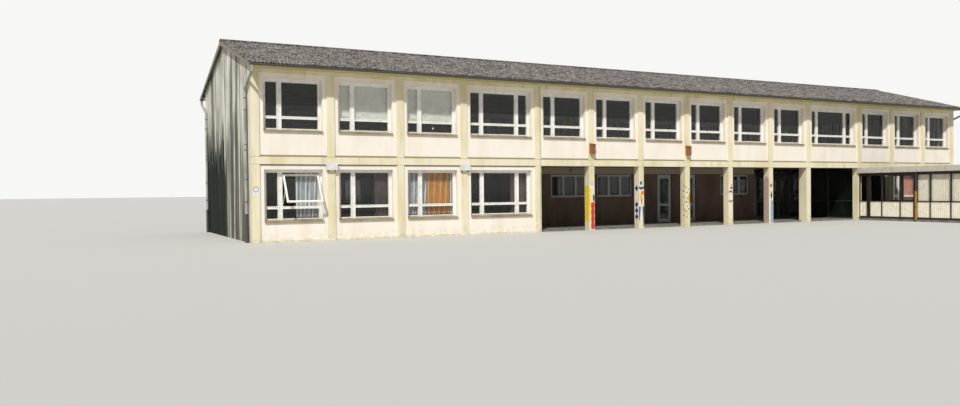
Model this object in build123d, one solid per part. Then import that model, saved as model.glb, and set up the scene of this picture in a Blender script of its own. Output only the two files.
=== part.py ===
from build123d import *
import math
import os

os.makedirs("parts", exist_ok=True)

# Two-storey school block: concrete frame with rendered infill, a ground-floor arcade between
# two wings, a low-pitched sheeted roof and a glazed passage that leaves the front at a right angle.
# Millimetres. x runs along the front from the first column axis, y runs into the building from
# the front face of the columns, z is up from the ground. Solids are shifted by the plan centre.

# Plan grid
BAY = 2650
WIDE_BAY_LEFT = 3350
WIDE_BAY_RIGHT = 3850
WING_BAYS = 3
ARCADE_BAYS = 6
BUILDING_DEPTH = 9970
COLUMN_WIDTH = 280
COLUMN_DEPTH = 320
ENTRANCE_PIER_DEPTH = 480
ARCADE_DEPTH = 3500

# Storeys
STOREY = 3150
FLOOR_TOP = 60
PLINTH_HEIGHT = 70
BEAM_BOTTOM = 2710
BEAM_TOP = 2975
FLOOR_SLAB = 200
ATTIC_SLAB = 140
BEAM_DEPTH = 320

# Walls
WALL = 250
INFILL_WALL = 270
WALL_SETBACK = 50
PLINTH_PROUD = 20

# Windows, given for the ground storey; the upper ones stand one storey higher
SILL_BOTTOM = 655
SILL_THICKNESS = 110
SILL_PROUD = 60
SILL_NOSE_DROP = 38
WINDOW_HEAD = 2535
SURROUND_TOP = 2696
SURROUND = 150
FRAME_SETBACK = 195
FRAME_DEPTH = 75
FRAME = 110
MULLION = 170
NARROW_LIGHT = 390
TRANSOM_BOTTOM = 1150
TRANSOM = 100
GLASS = 10

# Open top-hung sash in the first ground-floor window
SASH_ANGLE = 33
SASH_FRAME = 65
SASH_DEPTH = 50
SASH_DROP = 70
SASH_PLAY = 8
STAY_WIDTH = 30
STAY_REACH = 0.62
PIVOT_GAP = 0.3

# Arcade back wall: openings by their left and right sides, from the axis of its first column
ARCADE_WINDOWS = [(2850, 5000), (5480, 7590), (13400, 15470)]
ARCADE_DOORS = [(9170, 10100), (10790, 11720)]
ARCADE_WALL_SHORT_OF_PIER = 50
ARCADE_SILL = 1370
ARCADE_HEAD = 2430
ARCADE_FRAME = 85
ARCADE_MULLION = 120
ARCADE_LIGHTS = 3
ARCADE_FRAME_SETBACK = 70

# Doors
DOOR_FRAME = 65
DOOR_FRAME_DEPTH = 90
DOOR_GAP = 8
DOOR_LEAF = 50
DOOR_STILE = 105
DOOR_RAIL = 110
DOOR_BOTTOM_RAIL = 160
DOOR_MID_RAIL = 870
HANDLE_HEIGHT = 1050
HANDLE_PLATE = 6
HANDLE_PLATE_WIDTH = 40
HANDLE_PLATE_BELOW = 110
HANDLE_PLATE_ABOVE = 70
HANDLE_RADIUS = 9
HANDLE_REACH = 50
HANDLE_LEVER = 120
HINGE_RADIUS = 9
HINGE_KNUCKLE = 45
HINGE_GAP = 0.3
HINGE_FLAP = 22
HINGE_FLAP_THICKNESS = 3
HINGE_STANDOFF = 1
HINGE_LEVELS = [250, 1960]

# Entrance screen in the wide bay at the arcade's right end
ENTRANCE_MEETING_FROM_PIER = 1840
ENTRANCE_LEAF_SPACE = 920
ENTRANCE_LEAF_GAP = 10
ENTRANCE_POST = 70
ENTRANCE_DOOR_HEAD = 2250
ENTRANCE_MID_RAIL = 960
SCREEN_SETBACK = 60
SCREEN_DEPTH = 70
PULL_HANDLE_LENGTH = 500
PULL_HANDLE_RADIUS = 12.5
PULL_HANDLE_STUD = 60

# Roof
ROOF_SLOPE = 0.30
ROOF_UNDERSIDE_AT_FRONT = 6240
ROOF_SHEET = 70
EAVES_OVERHANG = 610
VERGE_OVERHANG = 150
RIDGE_CAP_WIDTH = 240
RIDGE_CAP = 18
EAVES_BEAM_BOTTOM = 5846
SOFFIT_BOTTOM = 5992
SOFFIT_BOARD = 18
FASCIA_BOARD = 25
BARGE_BOARD = 28
BARGE_HEIGHT = 170
BARGE_FOOT_HEIGHT = 76
GUTTER_RADIUS = 70
GUTTER_WALL = 3
GUTTER_CENTRE = 640
GUTTER_TOP = 6050
GUTTER_GAP = 0.3

# Rainwater pipes on the end walls
PIPE_RADIUS = 50
PIPE_STANDOFF = 20
PIPE_FROM_FRONT = 600
PIPE_SHOE_HEIGHT = 1000
PIPE_SHOE_WALL = 8
PIPE_OFFSET_TOP = 5800
PIPE_OFFSET_BOTTOM = 5300
CLIP_HEIGHT = 35
CLIP_LEVELS = [1400, 3200, 5000]

# Things fixed to the columns
NEST_BOX = (210, 160, 420)
NEST_BOX_BOTTOM = 3230
NEST_ROOF = 22
NEST_ROOF_LIP = 25
NEST_ROOF_SLOPE = 0.25
NEST_HOLE_RADIUS = 18
NEST_HOLE_DROP = 135
NEST_COLUMNS = [5, 7]
WALL_BOX = (400, 110, 270)
WALL_BOX_BOTTOM = 2510
WALL_BOX_FOOT = 45
WALL_BOX_FOOT_DEPTH = 77
WALL_BOX_COLUMNS = [1, 3]
SIGN_THICKNESS = 4
SIGNS = [(0, 1730, 240, 240), (5, 1870, 190, 230), (10, 1850, 200, 280)]
LAMP_FROM_COLUMN = 4000
LAMP_Z = 2610
LAMP_RADIUS = 110
LAMP_DEPTH = 75
LAMP_DOME = 48
LAMP_FACE_RADIUS = 62

# Glazed passage
PASSAGE_BAYS = 3
PASSAGE_BAY = 2540
PASSAGE_FIRST_POST = 530
PASSAGE_POST = 150
PASSAGE_POST_DEPTH = 90
PASSAGE_MULLION = 50
PASSAGE_MULLION_OFFSETS = [750, 1750]
PASSAGE_FLOOR = 100
PASSAGE_RAIL_BOTTOM = 206
PASSAGE_MID_RAIL = 960
PASSAGE_MID_RAIL_HEIGHT = 45
PASSAGE_HEAD_BOTTOM = 2295
PASSAGE_ROOF_BOTTOM = 2433
PASSAGE_ROOF_TOP = 2705
PASSAGE_ROOF_DECK = 180
PASSAGE_FASCIA = 30
PASSAGE_OVERHANG = 160
PASSAGE_FLOOR_LIP = 90
PASSAGE_END_WALL = 200
PASSAGE_PANEL = 30
PASSAGE_PIPE_RADIUS = 55

# Grid worked out from the driving dimensions
bay_widths = ([BAY] * WING_BAYS + [WIDE_BAY_LEFT] + [BAY] * ARCADE_BAYS
              + [WIDE_BAY_RIGHT] + [BAY] * WING_BAYS)
axes = [sum(bay_widths[:number]) for number in range(len(bay_widths) + 1)]
LENGTH = axes[-1]
ARCADE_FIRST = WING_BAYS + 1
ARCADE_LAST = ARCADE_FIRST + ARCADE_BAYS
PASSAGE_COLUMN = ARCADE_LAST + 1
MIDDLE_X = LENGTH / 2
MIDDLE_Y = BUILDING_DEPTH / 2
HALF_COLUMN = COLUMN_WIDTH / 2
END_LEFT = -HALF_COLUMN
END_RIGHT = LENGTH + HALF_COLUMN
REAR = BUILDING_DEPTH
INNER_FRONT = BEAM_DEPTH
INNER_REAR = REAR - BEAM_DEPTH
SLAB_BOTTOM = BEAM_TOP - FLOOR_SLAB
ARCADE_START = axes[ARCADE_FIRST]
ARCADE_WALL_END = axes[ARCADE_LAST] - ARCADE_WALL_SHORT_OF_PIER
ENTRANCE_MEETING = axes[ARCADE_LAST] + ENTRANCE_MEETING_FROM_PIER
arcade_windows = [(ARCADE_START + left, ARCADE_START + right) for left, right in ARCADE_WINDOWS]
arcade_doors = [(ARCADE_START + left, ARCADE_START + right) for left, right in ARCADE_DOORS]
ON_BASE = (Align.CENTER, Align.CENTER, Align.MIN)


def block(x, y, z):
    """Upright box between two values on each axis, in the building's grid."""
    corner = Pos(x[0] - MIDDLE_X, y[0] - MIDDLE_Y, z[0])
    size = Box(x[1] - x[0], y[1] - y[0], z[1] - z[0], align=(Align.MIN, Align.MIN, Align.MIN))
    return corner * size


def prism_along_x(outline, x):
    """Outline in y and z, carried along x."""
    points = [(y - MIDDLE_Y, z) for y, z in outline]
    face = make_face(Polyline(*points, close=True))
    return Plane.YZ.offset(x[0] - MIDDLE_X) * extrude(face, x[1] - x[0])


def upright_cylinder(x, y, z, radius):
    """Upright cylinder about x, y between two heights."""
    base = Pos(x - MIDDLE_X, y - MIDDLE_Y, z[0])
    return base * Cylinder(radius, z[1] - z[0], align=ON_BASE)


def mirrored_to_rear(solid):
    """The same solid on the rear side of the block."""
    return solid.mirror(Plane.XZ)


def mirrored_to_right(solid):
    """The same solid at the block's other end."""
    return solid.mirror(Plane.YZ)


def save(name, solids):
    """Write the solids of one node."""
    export_step(Compound(list(solids)), f"parts/{name}.step")


def clear_bay(number):
    """Left and right side of the space between the columns of a bay."""
    return axes[number] + HALF_COLUMN, axes[number + 1] - HALF_COLUMN


def window_opening(number):
    """Left and right side of a bay's window opening, inside its surround."""
    left, right = clear_bay(number)
    return left + SURROUND, right - SURROUND


def light_columns(left, right, wide):
    """Sides of each light between the frame's uprights: narrow and wide, and narrow again."""
    inner_left, inner_right = left + FRAME, right - FRAME
    first_right = inner_left + NARROW_LIGHT
    if not wide:
        return [(inner_left, first_right), (first_right + MULLION, inner_right)]
    last_left = inner_right - NARROW_LIGHT
    return [(inner_left, first_right), (first_right + MULLION, last_left - MULLION),
            (last_left, inner_right)]


def is_wide(number):
    return bay_widths[number] != BAY


def light_rows(lift):
    """Bottom and top of the small lower lights and the tall upper ones."""
    bottom = SILL_BOTTOM + SILL_THICKNESS + FRAME / 2
    return [(bottom + lift, TRANSOM_BOTTOM + lift),
            (TRANSOM_BOTTOM + TRANSOM + lift, WINDOW_HEAD - FRAME + lift)]


def infill_wall(number, lift, bottom):
    """Wall of one bay with its window cut through it."""
    left, right = clear_bay(number)
    opening_left, opening_right = window_opening(number)
    depth = (WALL_SETBACK, WALL_SETBACK + INFILL_WALL)
    top = SURROUND_TOP + lift if lift else BEAM_BOTTOM
    wall = block((left, right), depth, (bottom, top))
    heights = (SILL_BOTTOM + lift, WINDOW_HEAD + lift)
    return wall - block((opening_left, opening_right), depth, heights)


def window_frame(number, lift):
    """Frame of one bay with its mullions and transom, holes at every light."""
    left, right = window_opening(number)
    front = WALL_SETBACK + FRAME_SETBACK
    depth = (front, front + FRAME_DEPTH)
    frame = block((left, right), depth, (SILL_BOTTOM + SILL_THICKNESS + lift, WINDOW_HEAD + lift))
    for light in light_columns(left, right, is_wide(number)):
        for row in light_rows(lift):
            frame -= block(light, depth, row)
    return frame


def window_panes(number, lift, leave_out=None):
    """A pane in each light of one bay, apart from the light that an open sash leaves free."""
    left, right = window_opening(number)
    front = WALL_SETBACK + FRAME_SETBACK + (FRAME_DEPTH - GLASS) / 2
    panes = []
    for column, light in enumerate(light_columns(left, right, is_wide(number))):
        for row, heights in enumerate(light_rows(lift)):
            if (column, row) != leave_out:
                panes.append(block(light, (front, front + GLASS), heights))
    return panes


def window_sill(number, lift):
    """Sill strip with a sloping top and a nose that stands proud of the wall."""
    left, right = window_opening(number)
    front = WALL_SETBACK - SILL_PROUD
    back = WALL_SETBACK + INFILL_WALL
    bottom = SILL_BOTTOM + lift
    top = bottom + SILL_THICKNESS
    nose_top = top - SILL_NOSE_DROP
    outline = [(front, bottom), (back, bottom), (back, top), (WALL_SETBACK + FRAME_SETBACK, top),
               (front, nose_top)]
    return prism_along_x(outline, (left, right))


left_bays = range(0, ARCADE_FIRST)
right_bays = range(PASSAGE_COLUMN + 1, len(bay_widths))
all_bays = range(len(bay_widths))


# Floors and plinth
def ground_floor():
    """Slab between the outer walls and under the arcade, behind the front columns."""
    return block((END_LEFT + WALL, END_RIGHT - WALL), (INNER_FRONT, INNER_REAR), (0, FLOOR_TOP))


def upper_floor():
    return block((END_LEFT + WALL, END_RIGHT - WALL), (INNER_FRONT, INNER_REAR),
                 (SLAB_BOTTOM, BEAM_TOP))


def attic_floor():
    top = EAVES_BEAM_BOTTOM + ATTIC_SLAB
    return block((END_LEFT + WALL, END_RIGHT - WALL), (INNER_FRONT, INNER_REAR),
                 (EAVES_BEAM_BOTTOM, top))


def plinth(number):
    """Low strip under a ground-floor wall, a little proud of it."""
    return block(clear_bay(number), (WALL_SETBACK - PLINTH_PROUD, INNER_FRONT),
                 (0, PLINTH_HEIGHT))


save("floor_slabs", [ground_floor(), upper_floor(), attic_floor()])
front_plinths = [plinth(number) for number in [*left_bays, *right_bays]]
rear_plinths = [mirrored_to_rear(plinth(number)) for number in all_bays]
save("plinths", front_plinths + rear_plinths)


# Concrete frame
def front_column(number):
    """Column from the ground to the eaves beam; the pier beside the entrance is deeper below."""
    x = (axes[number] - HALF_COLUMN, axes[number] + HALF_COLUMN)
    column = block(x, (0, COLUMN_DEPTH), (0, EAVES_BEAM_BOTTOM))
    if number == ARCADE_LAST:
        column += block(x, (COLUMN_DEPTH, ENTRANCE_PIER_DEPTH), (FLOOR_TOP, SLAB_BOTTOM))
    return column


def rear_column(number):
    x = (axes[number] - HALF_COLUMN, axes[number] + HALF_COLUMN)
    return block(x, (REAR - COLUMN_DEPTH, REAR), (0, EAVES_BEAM_BOTTOM))


def floor_beam(number):
    return block(clear_bay(number), (0, BEAM_DEPTH), (BEAM_BOTTOM, BEAM_TOP))


def roof_underside(y):
    """Height of the roof's underside over the front half."""
    return ROOF_UNDERSIDE_AT_FRONT + ROOF_SLOPE * y


def eaves_beam():
    """Beam over the column heads with its top cut to the roof's slope."""
    outline = [(0, EAVES_BEAM_BOTTOM), (BEAM_DEPTH, EAVES_BEAM_BOTTOM),
               (BEAM_DEPTH, roof_underside(BEAM_DEPTH)), (0, roof_underside(0))]
    return prism_along_x(outline, (END_LEFT, END_RIGHT))


column_numbers = range(len(axes))
arcade_numbers = range(ARCADE_FIRST, PASSAGE_COLUMN)
wing_columns = [front_column(number) for number in column_numbers if number not in arcade_numbers]
save("arcade_columns", [front_column(number) for number in arcade_numbers])
save("outer_columns", wing_columns + [rear_column(number) for number in column_numbers])
front_beams = [floor_beam(number) for number in all_bays]
save("floor_beams", front_beams + [mirrored_to_rear(beam) for beam in front_beams])
save("eaves_beams", [eaves_beam(), mirrored_to_rear(eaves_beam())])


# Infill walls with their windows
def upper_wall(number):
    return infill_wall(number, STOREY, BEAM_TOP)


def ground_wall(number):
    return infill_wall(number, 0, PLINTH_HEIGHT)


ground_front_bays = [*left_bays, *right_bays]
save("front_wall_upper", [upper_wall(number) for number in all_bays])
save("front_wall_ground", [ground_wall(number) for number in ground_front_bays])
rear_walls = [mirrored_to_rear(upper_wall(number)) for number in all_bays]
rear_walls += [mirrored_to_rear(ground_wall(number)) for number in all_bays]
save("rear_walls", rear_walls)

front_frames = [window_frame(number, STOREY) for number in all_bays]
front_frames += [window_frame(number, 0) for number in ground_front_bays]
save("front_window_frames", front_frames)
rear_frames = [mirrored_to_rear(window_frame(number, STOREY)) for number in all_bays]
rear_frames += [mirrored_to_rear(window_frame(number, 0)) for number in all_bays]
save("rear_window_frames", rear_frames)

front_sills = [window_sill(number, STOREY) for number in all_bays]
front_sills += [window_sill(number, 0) for number in ground_front_bays]
rear_sills = [mirrored_to_rear(window_sill(number, STOREY)) for number in all_bays]
rear_sills += [mirrored_to_rear(window_sill(number, 0)) for number in all_bays]
save("window_sills", front_sills + rear_sills)

SASH_LIGHT = (1, 1)
upper_panes = [pane for number in all_bays for pane in window_panes(number, STOREY)]
ground_panes = [pane for number in ground_front_bays
                for pane in window_panes(number, 0, SASH_LIGHT if number == 0 else None)]
rear_panes = [mirrored_to_rear(pane) for number in all_bays for lift in (0, STOREY)
              for pane in window_panes(number, lift)]
save("front_glass", upper_panes + ground_panes)
save("rear_glass", rear_panes)


# Open sash: it hangs from two side stays with its bottom pushed outwards
def place_sash(solid, hinge_y, hinge_z):
    """Turn a solid made upright below the hinge line outwards by the sash's angle."""
    line = Axis((0, hinge_y - MIDDLE_Y, hinge_z), (1, 0, 0))
    return solid.rotate(line, -SASH_ANGLE)


def open_sash():
    """Sash frame, its pane and its two stays."""
    light = light_columns(*window_opening(0), False)[1]
    row = light_rows(0)[1]
    left, right = light[0] + SASH_PLAY, light[1] - SASH_PLAY
    top = row[1] - SASH_DROP
    bottom = top - (row[1] - row[0] - SASH_PLAY)
    front = WALL_SETBACK + FRAME_SETBACK
    depth = (front, front + SASH_DEPTH)
    frame = block((left, right), depth, (bottom, top))
    inner_x = (left + SASH_FRAME, right - SASH_FRAME)
    inner_z = (bottom + SASH_FRAME, top - SASH_FRAME)
    frame -= block(inner_x, depth, inner_z)
    pane_front = front + (SASH_DEPTH - GLASS) / 2
    pane = block(inner_x, (pane_front, pane_front + GLASS), inner_z)
    hinge = (front + SASH_DEPTH, top)
    return (place_sash(frame, *hinge), place_sash(pane, *hinge), left, right, front, top, bottom)


def sash_stay(sash_side, outwards, front, top, bottom):
    """Flat bar in the play beside the sash, from the frame's foot to the pushed-out stile."""
    reach = (top - bottom) * STAY_REACH
    angle = math.radians(SASH_ANGLE)
    foot = (front + SASH_DEPTH / 2 - reach * math.sin(angle), top - reach * math.cos(angle))
    head = (front + SASH_DEPTH / 2, light_rows(0)[1][0] + STAY_WIDTH)
    half = STAY_WIDTH / 2
    outline = [(head[0] - half, head[1] - half), (head[0] + half, head[1]),
               (foot[0] + half, foot[1] + half), (foot[0] - half, foot[1])]
    x = sorted((sash_side, sash_side + outwards * (SASH_PLAY - PIVOT_GAP)))
    return prism_along_x(outline, x)


sash_frame, sash_pane, sash_left, sash_right, sash_front, sash_top, sash_bottom = open_sash()
sash_frame += sash_stay(sash_left, -1, sash_front, sash_top, sash_bottom)
sash_frame += sash_stay(sash_right, 1, sash_front, sash_top, sash_bottom)
save("open_sash", [sash_frame])
save("open_sash_glass", [sash_pane])


# End walls with their gables
def end_wall():
    """Wall between the corner columns, carried up to the underside of both roof slopes."""
    near, far = COLUMN_DEPTH, REAR - COLUMN_DEPTH
    shoulder = roof_underside(near)
    outline = [(near, 0), (far, 0), (far, shoulder), (MIDDLE_Y, roof_underside(MIDDLE_Y)),
               (near, shoulder)]
    return prism_along_x(outline, (END_LEFT, END_LEFT + WALL))


save("end_walls", [end_wall(), mirrored_to_right(end_wall())])

# Arcade: side wall, back wall split at its openings, and the entrance screen
arcade_left = ARCADE_START - HALF_COLUMN
arcade_wall_depth = (ARCADE_DEPTH, ARCADE_DEPTH + WALL)
screen_x = axes[PASSAGE_COLUMN]
arcade_openings = sorted(arcade_windows + arcade_doors)
pier_sides = [arcade_left] + [side for opening in arcade_openings for side in opening]
pier_sides.append(ARCADE_WALL_END)
arcade_piers = [block(pier_sides[number:number + 2], arcade_wall_depth, (FLOOR_TOP, SLAB_BOTTOM))
                for number in range(0, len(pier_sides), 2)]
save("arcade_side_wall", [block((arcade_left, arcade_left + WALL), (COLUMN_DEPTH, ARCADE_DEPTH),
                                (FLOOR_TOP, SLAB_BOTTOM))])
save("arcade_wall_piers", arcade_piers)
spandrels = [block(sides, arcade_wall_depth, (FLOOR_TOP, ARCADE_SILL)) for sides in arcade_windows]
lintels = [block(sides, arcade_wall_depth, (ARCADE_HEAD, SLAB_BOTTOM)) for sides in arcade_openings]
save("arcade_wall_spandrels_and_lintels", spandrels + lintels)


def arcade_window(sides):
    """Three-light ribbon window of the back wall: its frame and its panes."""
    front = ARCADE_DEPTH + ARCADE_FRAME_SETBACK
    depth = (front, front + FRAME_DEPTH)
    frame = block(sides, depth, (ARCADE_SILL, ARCADE_HEAD))
    inner = sides[1] - sides[0] - 2 * ARCADE_FRAME
    light = (inner - (ARCADE_LIGHTS - 1) * ARCADE_MULLION) / ARCADE_LIGHTS
    heights = (ARCADE_SILL + ARCADE_FRAME, ARCADE_HEAD - ARCADE_FRAME)
    pane_front = front + (FRAME_DEPTH - GLASS) / 2
    panes = []
    for number in range(ARCADE_LIGHTS):
        left = sides[0] + ARCADE_FRAME + number * (light + ARCADE_MULLION)
        frame -= block((left, left + light), depth, heights)
        panes.append(block((left, left + light), (pane_front, pane_front + GLASS), heights))
    return frame, panes


arcade_frames, arcade_panes = [], []
for sides in arcade_windows:
    frame, panes = arcade_window(sides)
    arcade_frames.append(frame)
    arcade_panes += panes
save("arcade_window_frames", arcade_frames)
save("arcade_window_glass", arcade_panes)


# Doors
def door_leaf(sides, heights, front, mid_rail):
    """Glazed leaf with two stiles and three rails, and its two panes."""
    depth = (front, front + DOOR_LEAF)
    leaf = block(sides, depth, heights)
    pane_front = front + (DOOR_LEAF - GLASS) / 2
    inner = (sides[0] + DOOR_STILE, sides[1] - DOOR_STILE)
    rows = [(heights[0] + DOOR_BOTTOM_RAIL, mid_rail), (mid_rail + DOOR_RAIL, heights[1] - DOOR_RAIL)]
    panes = []
    for row in rows:
        leaf -= block(inner, depth, row)
        panes.append(block(inner, (pane_front, pane_front + GLASS), row))
    return leaf, panes


def hinge_line(leaf_edge, towards_frame, front):
    """Centre of a hinge in plan: over the gap beside the leaf, in front of its face."""
    return leaf_edge + towards_frame * DOOR_GAP / 2, front - HINGE_RADIUS - HINGE_STANDOFF


def knuckle(line, flap_towards, front, bottom):
    """One half of a hinge: its barrel and the flap that lies on the face beside it."""
    heights = (bottom, bottom + HINGE_KNUCKLE)
    barrel = upright_cylinder(*line, heights, HINGE_RADIUS)
    flap_x = sorted((line[0], line[0] + flap_towards * HINGE_FLAP))
    return barrel + block(flap_x, (front - HINGE_FLAP_THICKNESS, front), heights)


def hinge(leaf_edge, towards_frame, front):
    """Frame halves and leaf halves of a leaf's hinges, one half above the other."""
    line = hinge_line(leaf_edge, towards_frame, front)
    frame_half = [knuckle(line, towards_frame, front, z) for z in HINGE_LEVELS]
    leaf_half = [knuckle(line, -towards_frame, front, z + HINGE_KNUCKLE + HINGE_GAP)
                 for z in HINGE_LEVELS]
    return frame_half, leaf_half


def lever_handle(stile_x, front):
    """Backplate with a lever that points towards the hinge, on the outer face."""
    x = stile_x - MIDDLE_X
    y = front - MIDDLE_Y
    plate = block((stile_x - HANDLE_PLATE_WIDTH / 2, stile_x + HANDLE_PLATE_WIDTH / 2),
                  (front - HANDLE_PLATE, front),
                  (HANDLE_HEIGHT - HANDLE_PLATE_BELOW, HANDLE_HEIGHT + HANDLE_PLATE_ABOVE))
    neck = Pos(x, y - HANDLE_PLATE, HANDLE_HEIGHT) * Rot(90, 0, 0)
    neck *= Cylinder(HANDLE_RADIUS, HANDLE_REACH + HANDLE_RADIUS, align=ON_BASE)
    turn = Pos(x, y - HANDLE_PLATE - HANDLE_REACH, HANDLE_HEIGHT)
    lever = turn * Rot(0, 90, 0) * Cylinder(HANDLE_RADIUS, HANDLE_LEVER, align=ON_BASE)
    return plate + neck + lever


def pull_handle(stile_x, front):
    """Straight bar on two stand-offs."""
    x = stile_x - MIDDLE_X
    y = front - MIDDLE_Y
    low = HANDLE_HEIGHT - PULL_HANDLE_LENGTH / 2
    bar = Pos(x, y - HANDLE_REACH, low)
    bar *= Cylinder(PULL_HANDLE_RADIUS, PULL_HANDLE_LENGTH, align=ON_BASE)
    for z in (low + PULL_HANDLE_STUD, low + PULL_HANDLE_LENGTH - PULL_HANDLE_STUD):
        bar += Pos(x, y, z) * Rot(90, 0, 0) * Cylinder(HANDLE_RADIUS, HANDLE_REACH, align=ON_BASE)
    return bar


door_front = ARCADE_DEPTH + ARCADE_FRAME_SETBACK
door_frame_depth = (door_front, door_front + DOOR_FRAME_DEPTH)
door_frames = []
for number, sides in enumerate(arcade_doors, start=1):
    left, right = sides
    door_frame = block(sides, door_frame_depth, (FLOOR_TOP, ARCADE_HEAD))
    door_frame -= block((left + DOOR_FRAME, right - DOOR_FRAME), door_frame_depth,
                        (FLOOR_TOP, ARCADE_HEAD - DOOR_FRAME))
    leaf_sides = (left + DOOR_FRAME + DOOR_GAP, right - DOOR_FRAME - DOOR_GAP)
    leaf_heights = (FLOOR_TOP + DOOR_GAP, ARCADE_HEAD - DOOR_FRAME - DOOR_GAP)
    leaf, panes = door_leaf(leaf_sides, leaf_heights, door_front, DOOR_MID_RAIL)
    leaf += lever_handle(leaf_sides[0] + DOOR_STILE / 2, door_front)
    frame_half, leaf_half = hinge(leaf_sides[1], 1, door_front)
    for piece in leaf_half:
        leaf += piece
    for piece in frame_half:
        door_frame += piece
    door_frames.append(door_frame)
    save(f"arcade_door_{number}", [leaf])
    save(f"arcade_door_{number}_glass", panes)
save("arcade_door_frames", door_frames)

# Entrance screen: posts, head and rails round a pair of glazed doors
entrance_left = ARCADE_WALL_END
entrance_right = screen_x - ENTRANCE_POST / 2
entrance_front = ARCADE_DEPTH + SCREEN_SETBACK
entrance_depth = (entrance_front, entrance_front + SCREEN_DEPTH)
door_left = ENTRANCE_MEETING - ENTRANCE_LEAF_SPACE
door_right = ENTRANCE_MEETING + ENTRANCE_LEAF_SPACE
post_places = [entrance_left, door_left - ENTRANCE_POST, door_right, entrance_right - ENTRANCE_POST]
entrance_posts = [block((x, x + ENTRANCE_POST), entrance_depth, (FLOOR_TOP, SLAB_BOTTOM))
                  for x in post_places]
side_lights = [(entrance_left + ENTRANCE_POST, door_left - ENTRANCE_POST),
               (door_right + ENTRANCE_POST, entrance_right - ENTRANCE_POST)]
door_space = (door_left, door_right)
rail_top = ENTRANCE_MID_RAIL + ENTRANCE_POST
entrance_rails = []
for sides in side_lights:
    for bottom in (FLOOR_TOP, ENTRANCE_MID_RAIL, ENTRANCE_DOOR_HEAD, SLAB_BOTTOM - ENTRANCE_POST):
        entrance_rails.append(block(sides, entrance_depth, (bottom, bottom + ENTRANCE_POST)))
for bottom in (ENTRANCE_DOOR_HEAD, SLAB_BOTTOM - ENTRANCE_POST):
    entrance_rails.append(block(door_space, entrance_depth, (bottom, bottom + ENTRANCE_POST)))
entrance_pane = (entrance_front + (SCREEN_DEPTH - GLASS) / 2,
                 entrance_front + (SCREEN_DEPTH + GLASS) / 2)
light_heights = [(FLOOR_TOP + ENTRANCE_POST, ENTRANCE_MID_RAIL), (rail_top, ENTRANCE_DOOR_HEAD)]
fanlight = (ENTRANCE_DOOR_HEAD + ENTRANCE_POST, SLAB_BOTTOM - ENTRANCE_POST)
entrance_panes = [block(sides, entrance_pane, row) for sides in side_lights
                  for row in light_heights + [fanlight]]
entrance_panes.append(block(door_space, entrance_pane, fanlight))

leaf_heights = (FLOOR_TOP + DOOR_GAP, ENTRANCE_DOOR_HEAD - DOOR_GAP)
entrance_leaves = {
    "left": ((door_left + DOOR_GAP, ENTRANCE_MEETING - ENTRANCE_LEAF_GAP / 2), -1),
    "right": ((ENTRANCE_MEETING + ENTRANCE_LEAF_GAP / 2, door_right - DOOR_GAP), 1),
}
for side, (leaf_sides, towards_post) in entrance_leaves.items():
    leaf, panes = door_leaf(leaf_sides, leaf_heights, entrance_front, ENTRANCE_MID_RAIL)
    stile = leaf_sides[1] - DOOR_STILE / 2 if side == "left" else leaf_sides[0] + DOOR_STILE / 2
    leaf += pull_handle(stile, entrance_front)
    hinged_edge = leaf_sides[0] if side == "left" else leaf_sides[1]
    frame_half, leaf_half = hinge(hinged_edge, towards_post, entrance_front)
    for piece in leaf_half:
        leaf += piece
    post_number = 1 if side == "left" else 2
    for piece in frame_half:
        entrance_posts[post_number] += piece
    save(f"entrance_door_{side}", [leaf])
    save(f"entrance_door_{side}_glass", panes)

# Fixed glazed screen between the arcade and the passage's inner end
screen_depth_x = (screen_x - ENTRANCE_POST / 2, screen_x + ENTRANCE_POST / 2)
screen_span = (COLUMN_DEPTH, entrance_front)
screen_middle = (screen_span[0] + screen_span[1]) / 2
screen_post_places = [screen_span[0], screen_middle - ENTRANCE_POST / 2,
                      screen_span[1] - ENTRANCE_POST]
screen_posts = [block(screen_depth_x, (y, y + ENTRANCE_POST), (FLOOR_TOP, SLAB_BOTTOM))
                for y in screen_post_places]
screen_lights = [(screen_post_places[0] + ENTRANCE_POST, screen_post_places[1]),
                 (screen_post_places[1] + ENTRANCE_POST, screen_post_places[2])]
screen_pane_x = (screen_x - GLASS / 2, screen_x + GLASS / 2)
screen_rails, screen_panes = [], []
for span in screen_lights:
    for bottom in (FLOOR_TOP, ENTRANCE_MID_RAIL, SLAB_BOTTOM - ENTRANCE_POST):
        screen_rails.append(block(screen_depth_x, span, (bottom, bottom + ENTRANCE_POST)))
    for row in (light_heights[0], (rail_top, SLAB_BOTTOM - ENTRANCE_POST)):
        screen_panes.append(block(screen_pane_x, span, row))
save("screen_posts", entrance_posts + screen_posts)
save("screen_rails", entrance_rails + screen_rails)
save("screen_glass", entrance_panes + screen_panes)


# Roof
roof_sides = (END_LEFT - VERGE_OVERHANG, END_RIGHT + VERGE_OVERHANG)


def roof_slope():
    """Sheeted front slope from the eave to the ridge."""
    eave = (-EAVES_OVERHANG, roof_underside(-EAVES_OVERHANG))
    ridge = (MIDDLE_Y, roof_underside(MIDDLE_Y))
    outline = [eave, ridge, (ridge[0], ridge[1] + ROOF_SHEET), (eave[0], eave[1] + ROOF_SHEET)]
    return prism_along_x(outline, roof_sides)


def ridge_cap():
    """Folded cap that lies on both slopes."""
    top = roof_underside(MIDDLE_Y) + ROOF_SHEET
    drop = ROOF_SLOPE * RIDGE_CAP_WIDTH
    near, far = MIDDLE_Y - RIDGE_CAP_WIDTH, MIDDLE_Y + RIDGE_CAP_WIDTH
    outline = [(near, top - drop), (MIDDLE_Y, top), (far, top - drop), (far, top - drop + RIDGE_CAP),
               (MIDDLE_Y, top + RIDGE_CAP), (near, top - drop + RIDGE_CAP)]
    return prism_along_x(outline, roof_sides)


fascia_front = -GUTTER_CENTRE + GUTTER_RADIUS + GUTTER_GAP
fascia_back = fascia_front + FASCIA_BOARD


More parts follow.
